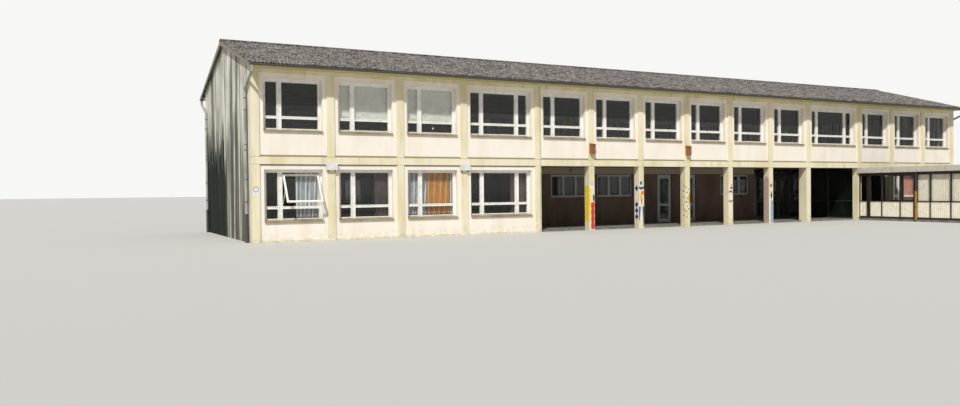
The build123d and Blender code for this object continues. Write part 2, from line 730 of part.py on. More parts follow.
def fascia_board():
    """Board behind the gutter, its top cut to the roof's slope."""
    outline = [(fascia_front, SOFFIT_BOTTOM), (fascia_back, SOFFIT_BOTTOM),
               (fascia_back, roof_underside(fascia_back)), (fascia_front, roof_underside(fascia_front))]
    return prism_along_x(outline, (roof_sides[0] + BARGE_BOARD, roof_sides[1] - BARGE_BOARD))


def soffit():
    return block((END_LEFT, END_RIGHT), (fascia_back, 0),
                 (SOFFIT_BOTTOM, SOFFIT_BOTTOM + SOFFIT_BOARD))


def barge_board():
    """Board under the front slope's left verge, plumb-cut at the eave and the ridge."""
    outline = [(fascia_front, roof_underside(fascia_front) - BARGE_FOOT_HEIGHT),
               (MIDDLE_Y, roof_underside(MIDDLE_Y) - BARGE_HEIGHT),
               (MIDDLE_Y, roof_underside(MIDDLE_Y)), (fascia_front, roof_underside(fascia_front))]
    return prism_along_x(outline, (roof_sides[0], roof_sides[0] + BARGE_BOARD))


def gutter():
    """Half-round gutter with closed ends."""
    centre = (-GUTTER_CENTRE - MIDDLE_Y, GUTTER_TOP)
    outer = Pos(*centre) * Circle(GUTTER_RADIUS)
    below = Rectangle(4 * GUTTER_RADIUS, 2 * GUTTER_RADIUS)
    trough = outer & (Pos(centre[0], centre[1] - GUTTER_RADIUS) * below)
    hollow = trough & (Pos(*centre) * Circle(GUTTER_RADIUS - GUTTER_WALL))
    length = roof_sides[1] - roof_sides[0]
    body = extrude(trough, length)
    cut = Pos(0, 0, GUTTER_WALL) * extrude(hollow, length - 2 * GUTTER_WALL)
    return Plane.YZ.offset(roof_sides[0] - MIDDLE_X) * (body - cut)


save("roof_front_slope", [roof_slope()])
save("roof_rear_slope", [mirrored_to_rear(roof_slope())])
save("ridge_cap", [ridge_cap()])
save("eaves_fascias", [fascia_board(), mirrored_to_rear(fascia_board())])
save("eaves_soffits", [soffit(), mirrored_to_rear(soffit())])
left_barge = barge_board() + mirrored_to_rear(barge_board())
save("barge_boards", [left_barge, mirrored_to_right(left_barge)])
save("gutters", [gutter(), mirrored_to_rear(gutter())])

# Rainwater pipes: from the gutter's end, back along the end wall and down to the ground
pipe_x = END_LEFT - PIPE_STANDOFF - PIPE_RADIUS


def rain_pipe():
    """Pipe with a swan neck: straight runs with mitred corners."""
    x = pipe_x - MIDDLE_X
    gutter_y = -GUTTER_CENTRE - MIDDLE_Y
    wall_y = PIPE_FROM_FRONT - MIDDLE_Y
    gutter_bottom = GUTTER_TOP - GUTTER_RADIUS - GUTTER_GAP
    route = Polyline((x, gutter_y, gutter_bottom), (x, gutter_y, PIPE_OFFSET_TOP),
                     (x, wall_y, PIPE_OFFSET_BOTTOM), (x, wall_y, PIPE_SHOE_HEIGHT))
    start = Plane(origin=route @ 0, z_dir=route % 0)
    return sweep(start * Circle(PIPE_RADIUS), path=route, transition=Transition.RIGHT)


def pipe_shoe():
    """Heavier standpipe at the foot, down to the ground."""
    radius = PIPE_RADIUS + PIPE_SHOE_WALL
    return upright_cylinder(pipe_x, PIPE_FROM_FRONT, (0, PIPE_SHOE_HEIGHT), radius)


def pipe_clip(z):
    """Stub that holds the pipe off the wall."""
    stub_y = (PIPE_FROM_FRONT - CLIP_HEIGHT / 2, PIPE_FROM_FRONT + CLIP_HEIGHT / 2)
    return block((pipe_x, END_LEFT), stub_y, (z, z + CLIP_HEIGHT))


def at_all_corners(solid):
    """The same solid at the four corners of the block."""
    rear = mirrored_to_rear(solid)
    return [solid, mirrored_to_right(solid), rear, mirrored_to_right(rear)]


pipe = rain_pipe() + pipe_shoe()
for level in CLIP_LEVELS:
    pipe += pipe_clip(level)
save("rain_pipes", at_all_corners(pipe))


# Things fixed to the columns and the arcade wall
def nest_box(column):
    """Timber box with an entrance hole and a sloping lid, on the front of a column."""
    width, depth, height = NEST_BOX
    x = (axes[column] - width / 2, axes[column] + width / 2)
    top = NEST_BOX_BOTTOM + height
    outline = [(-depth, NEST_BOX_BOTTOM), (0, NEST_BOX_BOTTOM), (0, top),
               (-depth, top - depth * NEST_ROOF_SLOPE)]
    body = prism_along_x(outline, x)
    lip = -depth - NEST_ROOF_LIP
    lip_bottom = top + lip * NEST_ROOF_SLOPE
    lid_outline = [(lip, lip_bottom), (0, top), (0, top + NEST_ROOF), (lip, lip_bottom + NEST_ROOF)]
    lid = prism_along_x(lid_outline, (x[0] - NEST_ROOF_LIP / 2, x[1] + NEST_ROOF_LIP / 2))
    hole = Pos(axes[column] - MIDDLE_X, -depth - MIDDLE_Y, top - NEST_HOLE_DROP) * Rot(90, 0, 0)
    return body + lid - hole * Cylinder(NEST_HOLE_RADIUS, depth)


def wall_box(column):
    """Flat lamp housing on two short feet, on the front of a column."""
    width, depth, height = WALL_BOX
    left, right = axes[column] - width / 2, axes[column] + width / 2
    housing = block((left, right), (-depth, 0), (WALL_BOX_BOTTOM, WALL_BOX_BOTTOM + height))
    for x in (left + WALL_BOX_FOOT, right - 2 * WALL_BOX_FOOT):
        housing += block((x, x + WALL_BOX_FOOT), (-WALL_BOX_FOOT_DEPTH, 0),
                         (WALL_BOX_BOTTOM - WALL_BOX_FOOT, WALL_BOX_BOTTOM))
    return housing


def sign_plate(column, middle, width, height):
    return block((axes[column] - width / 2, axes[column] + width / 2), (-SIGN_THICKNESS, 0),
                 (middle - height / 2, middle + height / 2))


def arcade_lamp():
    """Round bulkhead lamp: a base ring and a tapered shade."""
    base = LAMP_DEPTH - LAMP_DOME
    ring = Cylinder(LAMP_RADIUS, base, align=ON_BASE)
    shade = Pos(0, 0, base) * Cone(LAMP_RADIUS, LAMP_FACE_RADIUS, LAMP_DOME, align=ON_BASE)
    seat = Pos(ARCADE_START + LAMP_FROM_COLUMN - MIDDLE_X, ARCADE_DEPTH - MIDDLE_Y, LAMP_Z) * Rot(90, 0, 0)
    return seat * (ring + shade)


save("nest_boxes", [nest_box(column) for column in NEST_COLUMNS])
save("wall_boxes", [wall_box(column) for column in WALL_BOX_COLUMNS])
save("column_signs", [sign_plate(*sign) for sign in SIGNS])
save("arcade_lamp", [arcade_lamp()])

# Glazed passage in front of the bay beside the entrance
passage_left = axes[PASSAGE_COLUMN]
passage_right = axes[PASSAGE_COLUMN + 1]
passage_length = PASSAGE_FIRST_POST + PASSAGE_BAYS * PASSAGE_BAY
passage_end = -passage_length - PASSAGE_POST / 2
half_post = PASSAGE_POST_DEPTH / 2


def passage_wall_x(axis):
    return axis - half_post, axis + half_post


def passage_floor():
    return block((passage_left - PASSAGE_FLOOR_LIP, passage_right + PASSAGE_FLOOR_LIP),
                 (passage_end - PASSAGE_END_WALL, 0), (0, PASSAGE_FLOOR))


def passage_post_centres():
    return [-PASSAGE_FIRST_POST - number * PASSAGE_BAY for number in range(PASSAGE_BAYS + 1)]


def passage_posts(axis):
    heights = (PASSAGE_FLOOR, PASSAGE_ROOF_BOTTOM)
    return [block(passage_wall_x(axis), (y - PASSAGE_POST / 2, y + PASSAGE_POST / 2), heights)
            for y in passage_post_centres()]


def passage_spans():
    """Space between the facade and the first post, then between the posts."""
    centres = passage_post_centres()
    spans = [(centres[0] + PASSAGE_POST / 2, 0)]
    for near, far in zip(centres, centres[1:]):
        spans.append((far + PASSAGE_POST / 2, near - PASSAGE_POST / 2))
    return spans


def passage_mullion_places(near_centre):
    return [near_centre - offset for offset in PASSAGE_MULLION_OFFSETS]


def passage_cells():
    """The lights of each frame along y: what its border and mullions leave free."""
    first = passage_spans()[0]
    cells = [[(first[0] + PASSAGE_MULLION / 2, first[1] - PASSAGE_MULLION / 2)]]
    for centre, span in zip(passage_post_centres(), passage_spans()[1:]):
        edges = [span[1] - PASSAGE_MULLION / 2]
        for place in passage_mullion_places(centre):
            edges += [place + PASSAGE_MULLION / 2, place - PASSAGE_MULLION / 2]
        edges.append(span[0] + PASSAGE_MULLION / 2)
        cells.append([(edges[number + 1], edges[number]) for number in range(0, len(edges), 2)])
    return cells


def passage_side(axis):
    """Steel frames between the posts of one long side, their lower panels and their panes."""
    x = passage_wall_x(axis)
    mid_top = PASSAGE_MID_RAIL + PASSAGE_MID_RAIL_HEIGHT
    frames = [block(x, span, (PASSAGE_FLOOR, PASSAGE_ROOF_BOTTOM)) for span in passage_spans()]
    panels, panes = [], []
    for number, cells in enumerate(passage_cells()):
        for cell in cells:
            frames[number] -= block(x, cell, (PASSAGE_RAIL_BOTTOM, PASSAGE_MID_RAIL))
            frames[number] -= block(x, cell, (mid_top, PASSAGE_HEAD_BOTTOM))
            panel_x = (axis - PASSAGE_PANEL / 2, axis + PASSAGE_PANEL / 2)
            panels.append(block(panel_x, cell, (PASSAGE_RAIL_BOTTOM, PASSAGE_MID_RAIL)))
            pane_x = (axis - GLASS / 2, axis + GLASS / 2)
            panes.append(block(pane_x, cell, (mid_top, PASSAGE_HEAD_BOTTOM)))
    return frames, panels, panes


passage_frames, passage_panels, passage_panes = [], [], []
for axis in (passage_left, passage_right):
    frames, panels, panes = passage_side(axis)
    passage_frames += frames
    passage_panels += panels
    passage_panes += panes
save("passage_floor", [passage_floor()])
save("passage_posts", passage_posts(passage_left) + passage_posts(passage_right))
save("passage_frames", passage_frames)
save("passage_panels", passage_panels)
save("passage_glass", passage_panes)
save("passage_end_wall", [block((passage_left - half_post, passage_right + half_post),
                                (passage_end - PASSAGE_END_WALL, passage_end),
                                (PASSAGE_FLOOR, PASSAGE_ROOF_BOTTOM))])
roof_x = (passage_left - PASSAGE_OVERHANG, passage_right + PASSAGE_OVERHANG)
roof_y = (passage_end - PASSAGE_END_WALL - PASSAGE_OVERHANG, 0)
deck_heights = (PASSAGE_ROOF_BOTTOM, PASSAGE_ROOF_BOTTOM + PASSAGE_ROOF_DECK)
save("passage_roof", [block(roof_x, roof_y, deck_heights)])
fascia_heights = (PASSAGE_ROOF_BOTTOM, PASSAGE_ROOF_TOP)
fascia = block((roof_x[0] - PASSAGE_FASCIA, roof_x[1] + PASSAGE_FASCIA),
               (roof_y[0] - PASSAGE_FASCIA, 0), fascia_heights)
save("passage_fascia", [fascia - block(roof_x, roof_y, fascia_heights)])
passage_pipe_x = passage_left - half_post - PASSAGE_PIPE_RADIUS - GUTTER_GAP
passage_pipe_y = passage_post_centres()[1] - PASSAGE_POST / 2
passage_pipe = upright_cylinder(passage_pipe_x, passage_pipe_y,
                                (PASSAGE_FLOOR, PASSAGE_ROOF_BOTTOM), PASSAGE_PIPE_RADIUS)
save("passage_pipe", [passage_pipe])
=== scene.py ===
"""School block: weathered paint and render, corrugated roofing, joinery beads, blinds and curtains.

Metres. In a grid place x runs along the front from the first column's axis, y runs into the building
from the face of the columns, and z is up. at() turns grid places into places in the frame.
"""
import math
import bmesh
import bpy
import numpy as np
from mathutils import Matrix, Vector


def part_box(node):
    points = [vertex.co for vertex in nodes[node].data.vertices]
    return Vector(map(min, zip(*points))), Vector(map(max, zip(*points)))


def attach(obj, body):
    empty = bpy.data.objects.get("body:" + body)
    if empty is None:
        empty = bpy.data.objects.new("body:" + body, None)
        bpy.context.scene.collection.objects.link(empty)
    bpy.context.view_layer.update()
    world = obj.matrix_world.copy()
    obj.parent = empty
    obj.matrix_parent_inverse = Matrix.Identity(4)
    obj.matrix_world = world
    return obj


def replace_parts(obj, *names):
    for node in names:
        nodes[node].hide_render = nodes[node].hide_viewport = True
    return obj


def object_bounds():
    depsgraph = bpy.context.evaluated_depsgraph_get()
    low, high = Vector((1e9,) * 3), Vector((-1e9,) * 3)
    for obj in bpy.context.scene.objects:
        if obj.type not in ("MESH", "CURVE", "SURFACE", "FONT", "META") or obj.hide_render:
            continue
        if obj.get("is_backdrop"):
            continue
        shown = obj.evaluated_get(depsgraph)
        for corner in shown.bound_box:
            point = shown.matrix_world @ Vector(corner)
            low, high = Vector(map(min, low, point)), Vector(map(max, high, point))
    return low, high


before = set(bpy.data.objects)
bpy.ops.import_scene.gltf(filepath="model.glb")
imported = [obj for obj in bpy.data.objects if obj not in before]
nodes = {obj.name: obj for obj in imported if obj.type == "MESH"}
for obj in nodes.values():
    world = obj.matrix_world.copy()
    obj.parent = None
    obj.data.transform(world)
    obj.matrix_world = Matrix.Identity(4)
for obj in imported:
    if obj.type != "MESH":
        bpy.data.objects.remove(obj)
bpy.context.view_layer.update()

# Grid of the block
BAY, WIDE_BAY_LEFT, WIDE_BAY_RIGHT = 2.65, 3.35, 3.85
BAYS = [BAY] * 3 + [WIDE_BAY_LEFT] + [BAY] * 6 + [WIDE_BAY_RIGHT] + [BAY] * 3
AXES = np.concatenate([[0.0], np.cumsum(BAYS)])
WIDE_BAYS = (3, 10)
GROUND_FRONT_BAYS = (0, 1, 2, 3, 12, 13)
REAR = 9.97
MIDDLE = np.array([AXES[-1] / 2, REAR / 2, 0.0])
HALF_COLUMN = 0.14
STOREY = 3.15
BEAM_BOTTOM, BEAM_TOP = 2.71, 2.975

# Windows
SILL_TOP, WINDOW_HEAD = 0.765, 2.535
SURROUND, FRAME, MULLION, NARROW = 0.150, 0.110, 0.170, 0.390
TRANSOM_BOTTOM, TRANSOM_TOP = 1.15, 1.25
FRAME_FRONT = 0.245
PANE_BACK = 0.2875

# Arcade: its windows by their left and right sides, and the rows of lights in its doors
ARCADE_WINDOWS = ((14.15, 16.3), (16.78, 18.89), (24.7, 26.77))
ARCADE_FRAME, ARCADE_MULLION = 0.085, 0.12
ARCADE_LIGHT_BOTTOM, ARCADE_LIGHT_TOP = 1.455, 2.345
ARCADE_FRAME_FACE = 3.57
ARCADE_FIRST, ARCADE_LAST = 11.42, 31.0
ARCADE_CEILING, ARCADE_DEPTH = 2.775, 3.49
FIRST_BOARD, BOARD_SPACING = 0.335, 0.105
ARCADE_DOOR_ROWS = ((0.228, 0.87), (0.98, 2.247))
ENTRANCE_DOOR_ROWS = ((0.228, 0.96), (1.07, 2.132))
DOOR_PANE_SETBACK = 0.02

# Roof: the underside of its slopes, and corrugated sheets on battens
ROOF_SLOPE, ROOF_AT_FRONT = 0.30, 6.24
EAVE, RIDGE = -0.61, REAR / 2
VERGE = 0.150
ROOF_LEFT, ROOF_RIGHT = AXES[0] - HALF_COLUMN - VERGE, AXES[-1] + HALF_COLUMN + VERGE
WAVE, WAVE_HALF, SHEET, COURSES, LAP, LIFT = 0.130, 0.021, 0.007, 4, 0.15, 0.008
BATTEN, COURSE_END, VERGE_INSET = 0.014, 0.02, 0.005
ACROSS = 304 * 8 + 1
RIDGE_CAP_HALF, RIDGE_CAP_FOOT, FILLER = 0.225, 0.0695, 0.006
GUTTER_LIP, GUTTER_BACK, GUTTER_TOP = 0.708, 0.5697, 6.0515
FIRST_STRAP, LAST_STRAP, STRAP_SPACING = 0.35, 0.2, 0.75

# Passage: posts and bars along y, and the levels of its panels
PASSAGE_LEFT, PASSAGE_RIGHT = AXES[11], AXES[12]
PASSAGE_FIRST_POST, PASSAGE_BAY, HALF_POST, HALF_BAR = -0.53, 2.54, 0.075, 0.025
PASSAGE_BARS = (0.75, 1.75)
PANEL_FACE = 0.015
PANEL_BOTTOM, PANEL_TOP = 0.215, 0.951
UPPER_SHEET_X, UPPER_SHEET_BOTTOM, UPPER_SHEET_HEIGHT = 0.05, 1.010, 1.28
RIB_SPACING, FIRST_RIB, LAST_RIB, RIB_CLEAR = 0.1, 0.03, 0.05, 0.010

# Pipes and the lightning conductor
PIPE_OUT, PIPE_IN = 0.07, 0.6
RAIN_PIPE, STANDPIPE, PASSAGE_PIPE_RADIUS = 0.05, 0.058, 0.055
PIPE_COLLARS, PIPE_SOCKETS, STANDPIPE_BANDS = (1.4, 3.2, 5.0), (2.16, 4.56), (0.22, 0.5, 0.78, 0.96)
PASSAGE_PIPE_AT, PASSAGE_PIPE_BANDS = (30.9497, -3.145), (0.7, 1.5, 2.2)
WIRE_FROM_AXIS, WIRE_OUT, WIRE_RADIUS, WIRE_FOOT, WIRE_TOP = 0.09, -0.022, 0.005, 0.02, 5.98
FIRST_CLIP, LAST_CLIP, CLIP_SPACING = 0.6, 0.08, 0.9
CLIP_WIDTH, CLIP_OUT, CLIP_HEIGHT = 0.02, -0.028, 0.015

# Cloth: the planes it hangs in, its top and its foot
BLIND_TOP, BLIND_HEMS, BLIND_PLANE, BLIND_WAVES, BLIND_DEPTH = 5.66, (4.40, 4.36), 0.345, 1.5, 0.004
BLIND_EDGE, BLIND_SPLIT = 0.02, 0.01
CURTAIN_HEM, CURTAIN_TOP, CURTAIN_PLANE, CURTAIN_DEPTH = 0.80, 2.55, 0.385, 0.030
CLOTH_THICKNESS = 0.0015

# Thickness of painted shapes, of stickers and of rings on the signs
PAINT_FILM, STICKER, SIGN_RING = 0.0015, 0.0008, 0.0012
SIGN_FACE = -0.004

# How far patterns are drawn out down a wall: rain runs, and end-wall streaks that are partly algae and
# partly painted shadows of branches
RUNS, BROAD_STREAKS, FINE_STREAKS = (1, 1, 0.10), (1, 1, 0.07), (1, 1, 0.03)


def at(points):
    """Grid places as places in the frame: the middle of the plan is taken away."""
    return np.asarray(points, float) - MIDDLE


# Colours, nodes and patterns
def paint(code):
    """sRGB hex colour as linear RGBA."""
    parts = [int(code[i:i + 2], 16) / 255 for i in (1, 3, 5)]
    return [p / 12.92 if p <= 0.04045 else ((p + 0.055) / 1.055) ** 2.4 for p in parts] + [1.0]


def add(tree, kind, inputs=None, out=0, **settings):
    """Adds one shader node and gives back one of its outputs, if it has any. Settings are its
    properties, inputs its values or the outputs to link."""
    node = tree.nodes.new("ShaderNode" + kind)
    for key, value in settings.items():
        setattr(node, key, value)
    for key, value in (inputs or {}).items():
        if isinstance(value, bpy.types.NodeSocket):
            tree.links.new(value, node.inputs[key])
        else:
            node.inputs[key].default_value = value
    return node.outputs[out] if len(node.outputs) else None


def new_material(name):
    """Empty node material, its tree and the object coordinates in metres."""
    material = bpy.data.materials.new(name)
    material.use_nodes = True
    tree = material.node_tree
    tree.nodes.clear()
    return material, tree, add(tree, "TexCoord", out="Object")


def cloudy(tree, place, size_mm, detail=4.0, stretch=(1, 1, 1), roughness=0.55, edges=None, most=1.0,
           lift=None):
    """Cloudy pattern with features size_mm wide, drawn out along an axis by a stretch under 1.

    It is noise plus a lift. With edges it is a share: 0 below the first, most above the second and
    smooth between, so a lift spreads it.
    """
    spread = add(tree, "Mapping", {"Vector": place, "Scale": stretch})
    value = add(tree, "TexNoise", {"Vector": spread, "Scale": 1000.0 / size_mm, "Detail": detail,
                                   "Roughness": roughness})
    if lift is not None:
        value = add(tree, "Math", {0: value, 1: lift}, operation="ADD")
    if edges:
        value = add(tree, "MapRange", {"Value": value, "From Min": edges[0], "From Max": edges[1],
                                       "To Max": most}, interpolation_type="SMOOTHSTEP")
    return value


def faded(tree, place, axis, start, end, first=0.0, last=1.0):
    """Share that passes smoothly from first to last between two places along an axis."""
    along = add(tree, "SeparateXYZ", {0: place}, out=axis)
    return add(tree, "MapRange", {"Value": along, "From Min": start, "From Max": end, "To Min": first,
                                  "To Max": last}, interpolation_type="SMOOTHSTEP")


def stepped(tree, place, axis, test, level, reach=0.0):
    """Share of 1 where the place along an axis passes a test against a level, such as COMPARE,
    which is true within reach of it."""
    along = add(tree, "SeparateXYZ", {0: place}, out=axis)
    return add(tree, "Math", {0: along, 1: level, 2: reach}, operation=test)


def striped(tree, place, axis, spacing_mm, width):
    """Share of 1 on stripes that fill the first part, width, of every spacing along an axis."""
    along = add(tree, "SeparateXYZ", {0: place}, out=axis)
    turns = add(tree, "Math", {0: along, 1: spacing_mm / 1000}, operation="DIVIDE")
    share = add(tree, "Math", {0: turns}, operation="FRACT")
    return add(tree, "Math", {0: share, 1: width}, operation="LESS_THAN")


def laid_over(tree, body, colour, *shares):
    """Lays a colour, a hex code or an output, over the body by the product of its shares."""
    share = shares[0]
    for other in shares[1:]:
        share = add(tree, "Math", {0: share, 1: other}, operation="MULTIPLY")
    colour = paint(colour) if isinstance(colour, str) else colour
    return add(tree, "MixRGB", {"Fac": share, "Color1": body, "Color2": colour})


def surfaced(tree, sockets, height=None, depth_mm=0.0):
    """Ends a material: a Principled shader with its sockets, over relief depth_mm deep."""
    if height is not None:
        sockets["Normal"] = add(tree, "Bump", {"Height": height, "Distance": depth_mm / 1000})
    add(tree, "OutputMaterial", {"Surface": add(tree, "BsdfPrincipled", sockets)})


# Families of materials
def painted_masonry(name, colour, shade, grime, grain_mm=12, grain_depth=0.9, streaks=0.25,
                    splash=0.5, joints=(), roughness=0.85, crown=None):
    """Matt paint or render: patches a metre wide, fine grain, rain streaks drawn down the wall, splashed
    dirt near the ground, a lighter band above a crown's level, and dark lines at listed levels."""
    material, tree, place = new_material(name)
    patches = cloudy(tree, place, 700, 6, (1, 1, 0.4), edges=(0.40, 0.66))
    body = laid_over(tree, paint(colour), shade, patches)
    runs = cloudy(tree, place, 230, 3, RUNS, edges=(0.52, 0.78), most=streaks)
    body = laid_over(tree, body, grime, runs)
    mottles = cloudy(tree, place, 160, 5, edges=(0.38, 0.66), most=splash)
    body = laid_over(tree, body, grime, mottles, faded(tree, place, "Z", 0.0, 0.55, 1.0, 0.0))
    body = laid_over(tree, body, grime, cloudy(tree, place, grain_mm, 6, edges=(0.45, 0.75), most=0.12))
    if crown:
        body = laid_over(tree, body, crown[1], stepped(tree, place, "Z", "GREATER_THAN", crown[0]))
    # Dark lines at listed levels: cast joints on the columns, and wider dark bands on the walls by the beams
    for level, reach in joints:
        body = laid_over(tree, body, "#7A7250", stepped(tree, place, "Z", "COMPARE", level, reach), 0.8)
    surfaced(tree, {"Base Color": body, "Roughness": roughness, "Specular IOR Level": 0.15},
             cloudy(tree, place, grain_mm, 6), grain_depth)
    return material


def streaked_render():
    """Mineral roughcast: near white, with dark drawn-out streaks that thicken downwards and rearwards,
    partly algae and partly painted shadows of branches, joining into a near-black patch low at the rear that
    is painted tree shadow; moss at the foot, and 14 mm grains."""
    material, tree, place = new_material("streaked_roughcast_with_painted_tree_shadow")
    patches = cloudy(tree, place, 1400, 4, edges=(0.40, 0.64))
    body = laid_over(tree, paint("#E6E3D8"), "#CBC7B8", patches)
    rearwards = faded(tree, place, "Y", -0.9, 0.4)
    lower = faded(tree, place, "Z", 1.2, 6.4, 1.0, 0.0)
    damp = faded(tree, place, "Y", -0.9, 0.4, 0.09, 0.19)
    reach = add(tree, "Math", {0: lower, 1: damp}, operation="MULTIPLY")
    fine_reach = add(tree, "Math", {0: reach, 1: 0.9}, operation="MULTIPLY")
    fine = cloudy(tree, place, 150, 5, FINE_STREAKS, 0.6, (0.50, 0.62), 0.80, fine_reach)
    body = laid_over(tree, body, "#5F5E54", fine)
    broad = cloudy(tree, place, 620, 5, BROAD_STREAKS, 0.6, (0.55, 0.63), 0.80, reach)
    body = laid_over(tree, body, "#3C3F37", broad)
    # The painted tree shadow ends where noise falls below a seventh of the height
    height = add(tree, "SeparateXYZ", {0: place}, out="Z")
    fall = add(tree, "Math", {0: height, 1: -1 / 7}, operation="MULTIPLY")
    tree_shadow = cloudy(tree, place, 420, 4, (1, 1, 0.12), 0.6, (-0.4 / 7, 0.4 / 7), lift=fall)
    # Near-black, streaked body of the painted tree shadow
    streaks = cloudy(tree, place, 150, 5, FINE_STREAKS, 0.6, (0.45, 0.65))
    black = laid_over(tree, paint("#1D201B"), "#34372F", streaks)
    body = laid_over(tree, body, black, tree_shadow, rearwards)
    moss = cloudy(tree, place, 260, 5, edges=(0.55, 0.75), most=0.6)
    body = laid_over(tree, body, "#4C5238", moss, faded(tree, place, "Z", 0.1, 1.6, 1.0, 0.0))
    surfaced(tree, {"Base Color": body, "Roughness": 0.92, "Specular IOR Level": 0.1},
             cloudy(tree, place, 14, 6), 2.0)
    return material


def lichened_sheet():
    """Pressed fibre-cement sheet, decades old: grey cement under pale and dark lichen crusts 20 to
    80 mm wide, round pale rosettes and a little moss, dull all over."""
    material, tree, place = new_material("lichened_fibre_cement")
    patches = cloudy(tree, place, 1800, 5, edges=(0.35, 0.7))
    body = laid_over(tree, paint("#75706C"), "#615C58", patches)
    body = laid_over(tree, body, "#999490", cloudy(tree, place, 190, 8, roughness=0.8, edges=(0.49, 0.54)))
    rosettes = add(tree, "TexVoronoi", {"Vector": place, "Scale": 1000 / 58.82, "Randomness": 1.0},
                   out="Distance")
    pale = add(tree, "MapRange", {"Value": rosettes, "From Min": 0.18, "From Max": 0.38, "To Min": 1.0,
                                  "To Max": 0.0}, interpolation_type="SMOOTHSTEP")
    wanders = cloudy(tree, place, 340, 4, edges=(0.40, 0.56), most=0.85)
    body = laid_over(tree, body, "#B7AFA8", pale, wanders)
    dark = cloudy(tree, place, 260, 8, roughness=0.85, edges=(0.50, 0.55), most=0.90)
    body = laid_over(tree, body, "#2F2B2A", dark)
    body = laid_over(tree, body, "#5E5F3F", cloudy(tree, place, 60, 5, edges=(0.62, 0.72), most=0.5))
    surfaced(tree, {"Base Color": body, "Roughness": 0.95, "Specular IOR Level": 0.1},
             cloudy(tree, place, 190, 8, roughness=0.8, lift=rosettes), 3.0)
    return material


def coated_metal(name, colour, grime, roughness=0.4, metallic=0.0, wear=0.25, dust_mm=180, feet=None):
    """Brushed or sprayed coat: cloudy dirt that dulls it, 20 mm chips and light orange peel. Below
    the level of its feet it is black rubber."""
    material, tree, place = new_material(name)
    dirt = cloudy(tree, place, dust_mm, 5, edges=(0.42, 0.72))
    body = laid_over(tree, paint(colour), grime, dirt, wear)
    body = laid_over(tree, body, grime, cloudy(tree, place, 22, 6, edges=(0.66, 0.72), most=wear))
    if feet:
        body = laid_over(tree, body, "#1C1B1A", stepped(tree, place, "Z", "LESS_THAN", feet))
    dull = add(tree, "MapRange", {"Value": dirt, "To Min": roughness, "To Max": roughness + 0.2})
    surfaced(tree, {"Base Color": body, "Roughness": dull, "Metallic": metallic},
             cloudy(tree, place, 5, 3), 0.15)
    return material


def window_pane(name, tint, cover, film_ior=1.5):
    """Float glass in daylight: what is behind shows through a thin tinted film with clouds of dust, and the
    film gives the reflection; where its cover is high, its dark tint is painted shade that stands in for dim
    rooms behind. 700 mm waves in the glass bend it."""
    material, tree, place = new_material(name)
    dust = cloudy(tree, place, 240, 5, (1, 1, 0.4), edges=(0.5, 0.8), most=0.25)
    surfaced(tree, {"Base Color": laid_over(tree, paint(tint), "#7E8482", dust), "Roughness": 0.03,
                    "IOR": 1.52, "Alpha": cover, "Coat Weight": 1.0, "Coat Roughness": 0.02,
                    "Coat IOR": film_ior}, cloudy(tree, place, 700, 2), 0.48)
    return material


def sawn_wood(name, colour, dark, board_mm=0, upright=False):
    """Sawn and stained softwood: 14 mm year rings drawn out along the board, greyed patches, and
    dark gaps between boards where it is boarding."""
    material, tree, place = new_material(name)
    grain = (1, 1, 0.08) if upright else (0.08, 1, 1)
    body = laid_over(tree, paint(colour), dark, cloudy(tree, place, 14, 5, grain, edges=(0.40, 0.62)))
    body = laid_over(tree, body, "#8A8274", cloudy(tree, place, 320, 4, edges=(0.52, 0.78), most=0.3))
    if board_mm:
        gaps = striped(tree, place, "X" if upright else "Y", board_mm, 0.04)
        body = laid_over(tree, body, "#1E1712", gaps, 0.8)
    surfaced(tree, {"Base Color": body, "Roughness": 0.75}, cloudy(tree, place, 14, 5, grain), 0.7)
    return material


def woven_cloth(name, colour, fold_colour, stripe_mm=0, stripe="#FFFFFF"):
    """Plain-woven curtain cloth: matt, faintly sheened and sun-faded in clouds, with a 1.2 mm weave,
    coarser than life so that it shows, and woven stripes spaced along the cloth by its own map."""
    material, tree, place = new_material(name)
    along = add(tree, "UVMap")
    threads = add(tree, "TexChecker", {"Vector": along, "Scale": 1000.0 / 1.2}, out="Fac")
    body = laid_over(tree, paint(colour), fold_colour, cloudy(tree, place, 300, edges=(0.35, 0.7)))
    if stripe_mm:
        body = laid_over(tree, body, stripe, striped(tree, along, "X", stripe_mm, 0.35))
    surfaced(tree, {"Base Color": body, "Roughness": 0.9, "Sheen Weight": 0.3}, threads, 0.15)
    return material


def jointed_pipe():
    """Extruded grey PVC pipe, clouded with dirt and dark at its joints, over a cast-iron standpipe
    with 60 mm blooms of rust up to its rim at 1 m."""
    material, tree, place = new_material("grey_pvc_pipe_on_cast_iron")
    dirt = cloudy(tree, place, 200, 5, (1, 1, 0.25), edges=(0.4, 0.7))
    upper = laid_over(tree, paint("#A5A69F"), "#83847A", dirt)
    rust = cloudy(tree, place, 60, 5, edges=(0.5, 0.7))
    lower = laid_over(tree, paint("#4B4A46"), "#5C4536", rust)
    body = laid_over(tree, upper, lower, stepped(tree, place, "Z", "LESS_THAN", 1.0))
    for level in (0.98, 2.2, 3.4, 4.6):
        body = laid_over(tree, body, "#3B3B38", stepped(tree, place, "Z", "COMPARE", level, 0.02), 0.7)
    surfaced(tree, {"Base Color": body, "Roughness": 0.55}, rust, 0.4)
    return material


def two_tone_pipe():
    """Brush-painted steel pipe: dark brown above 1.52 m, orange yellow and worn in 60 mm patches
    below it, satin."""
    material, tree, place = new_material("two_tone_painted_steel_pipe")
    wear = cloudy(tree, place, 60, 5, edges=(0.5, 0.75))
    lower = laid_over(tree, paint("#9C7620"), "#5E4518", wear, 0.5)
    body = laid_over(tree, lower, "#2B2622", stepped(tree, place, "Z", "GREATER_THAN", 1.52))
    surfaced(tree, {"Base Color": body, "Roughness": 0.5}, wear, 0.3)
    return material


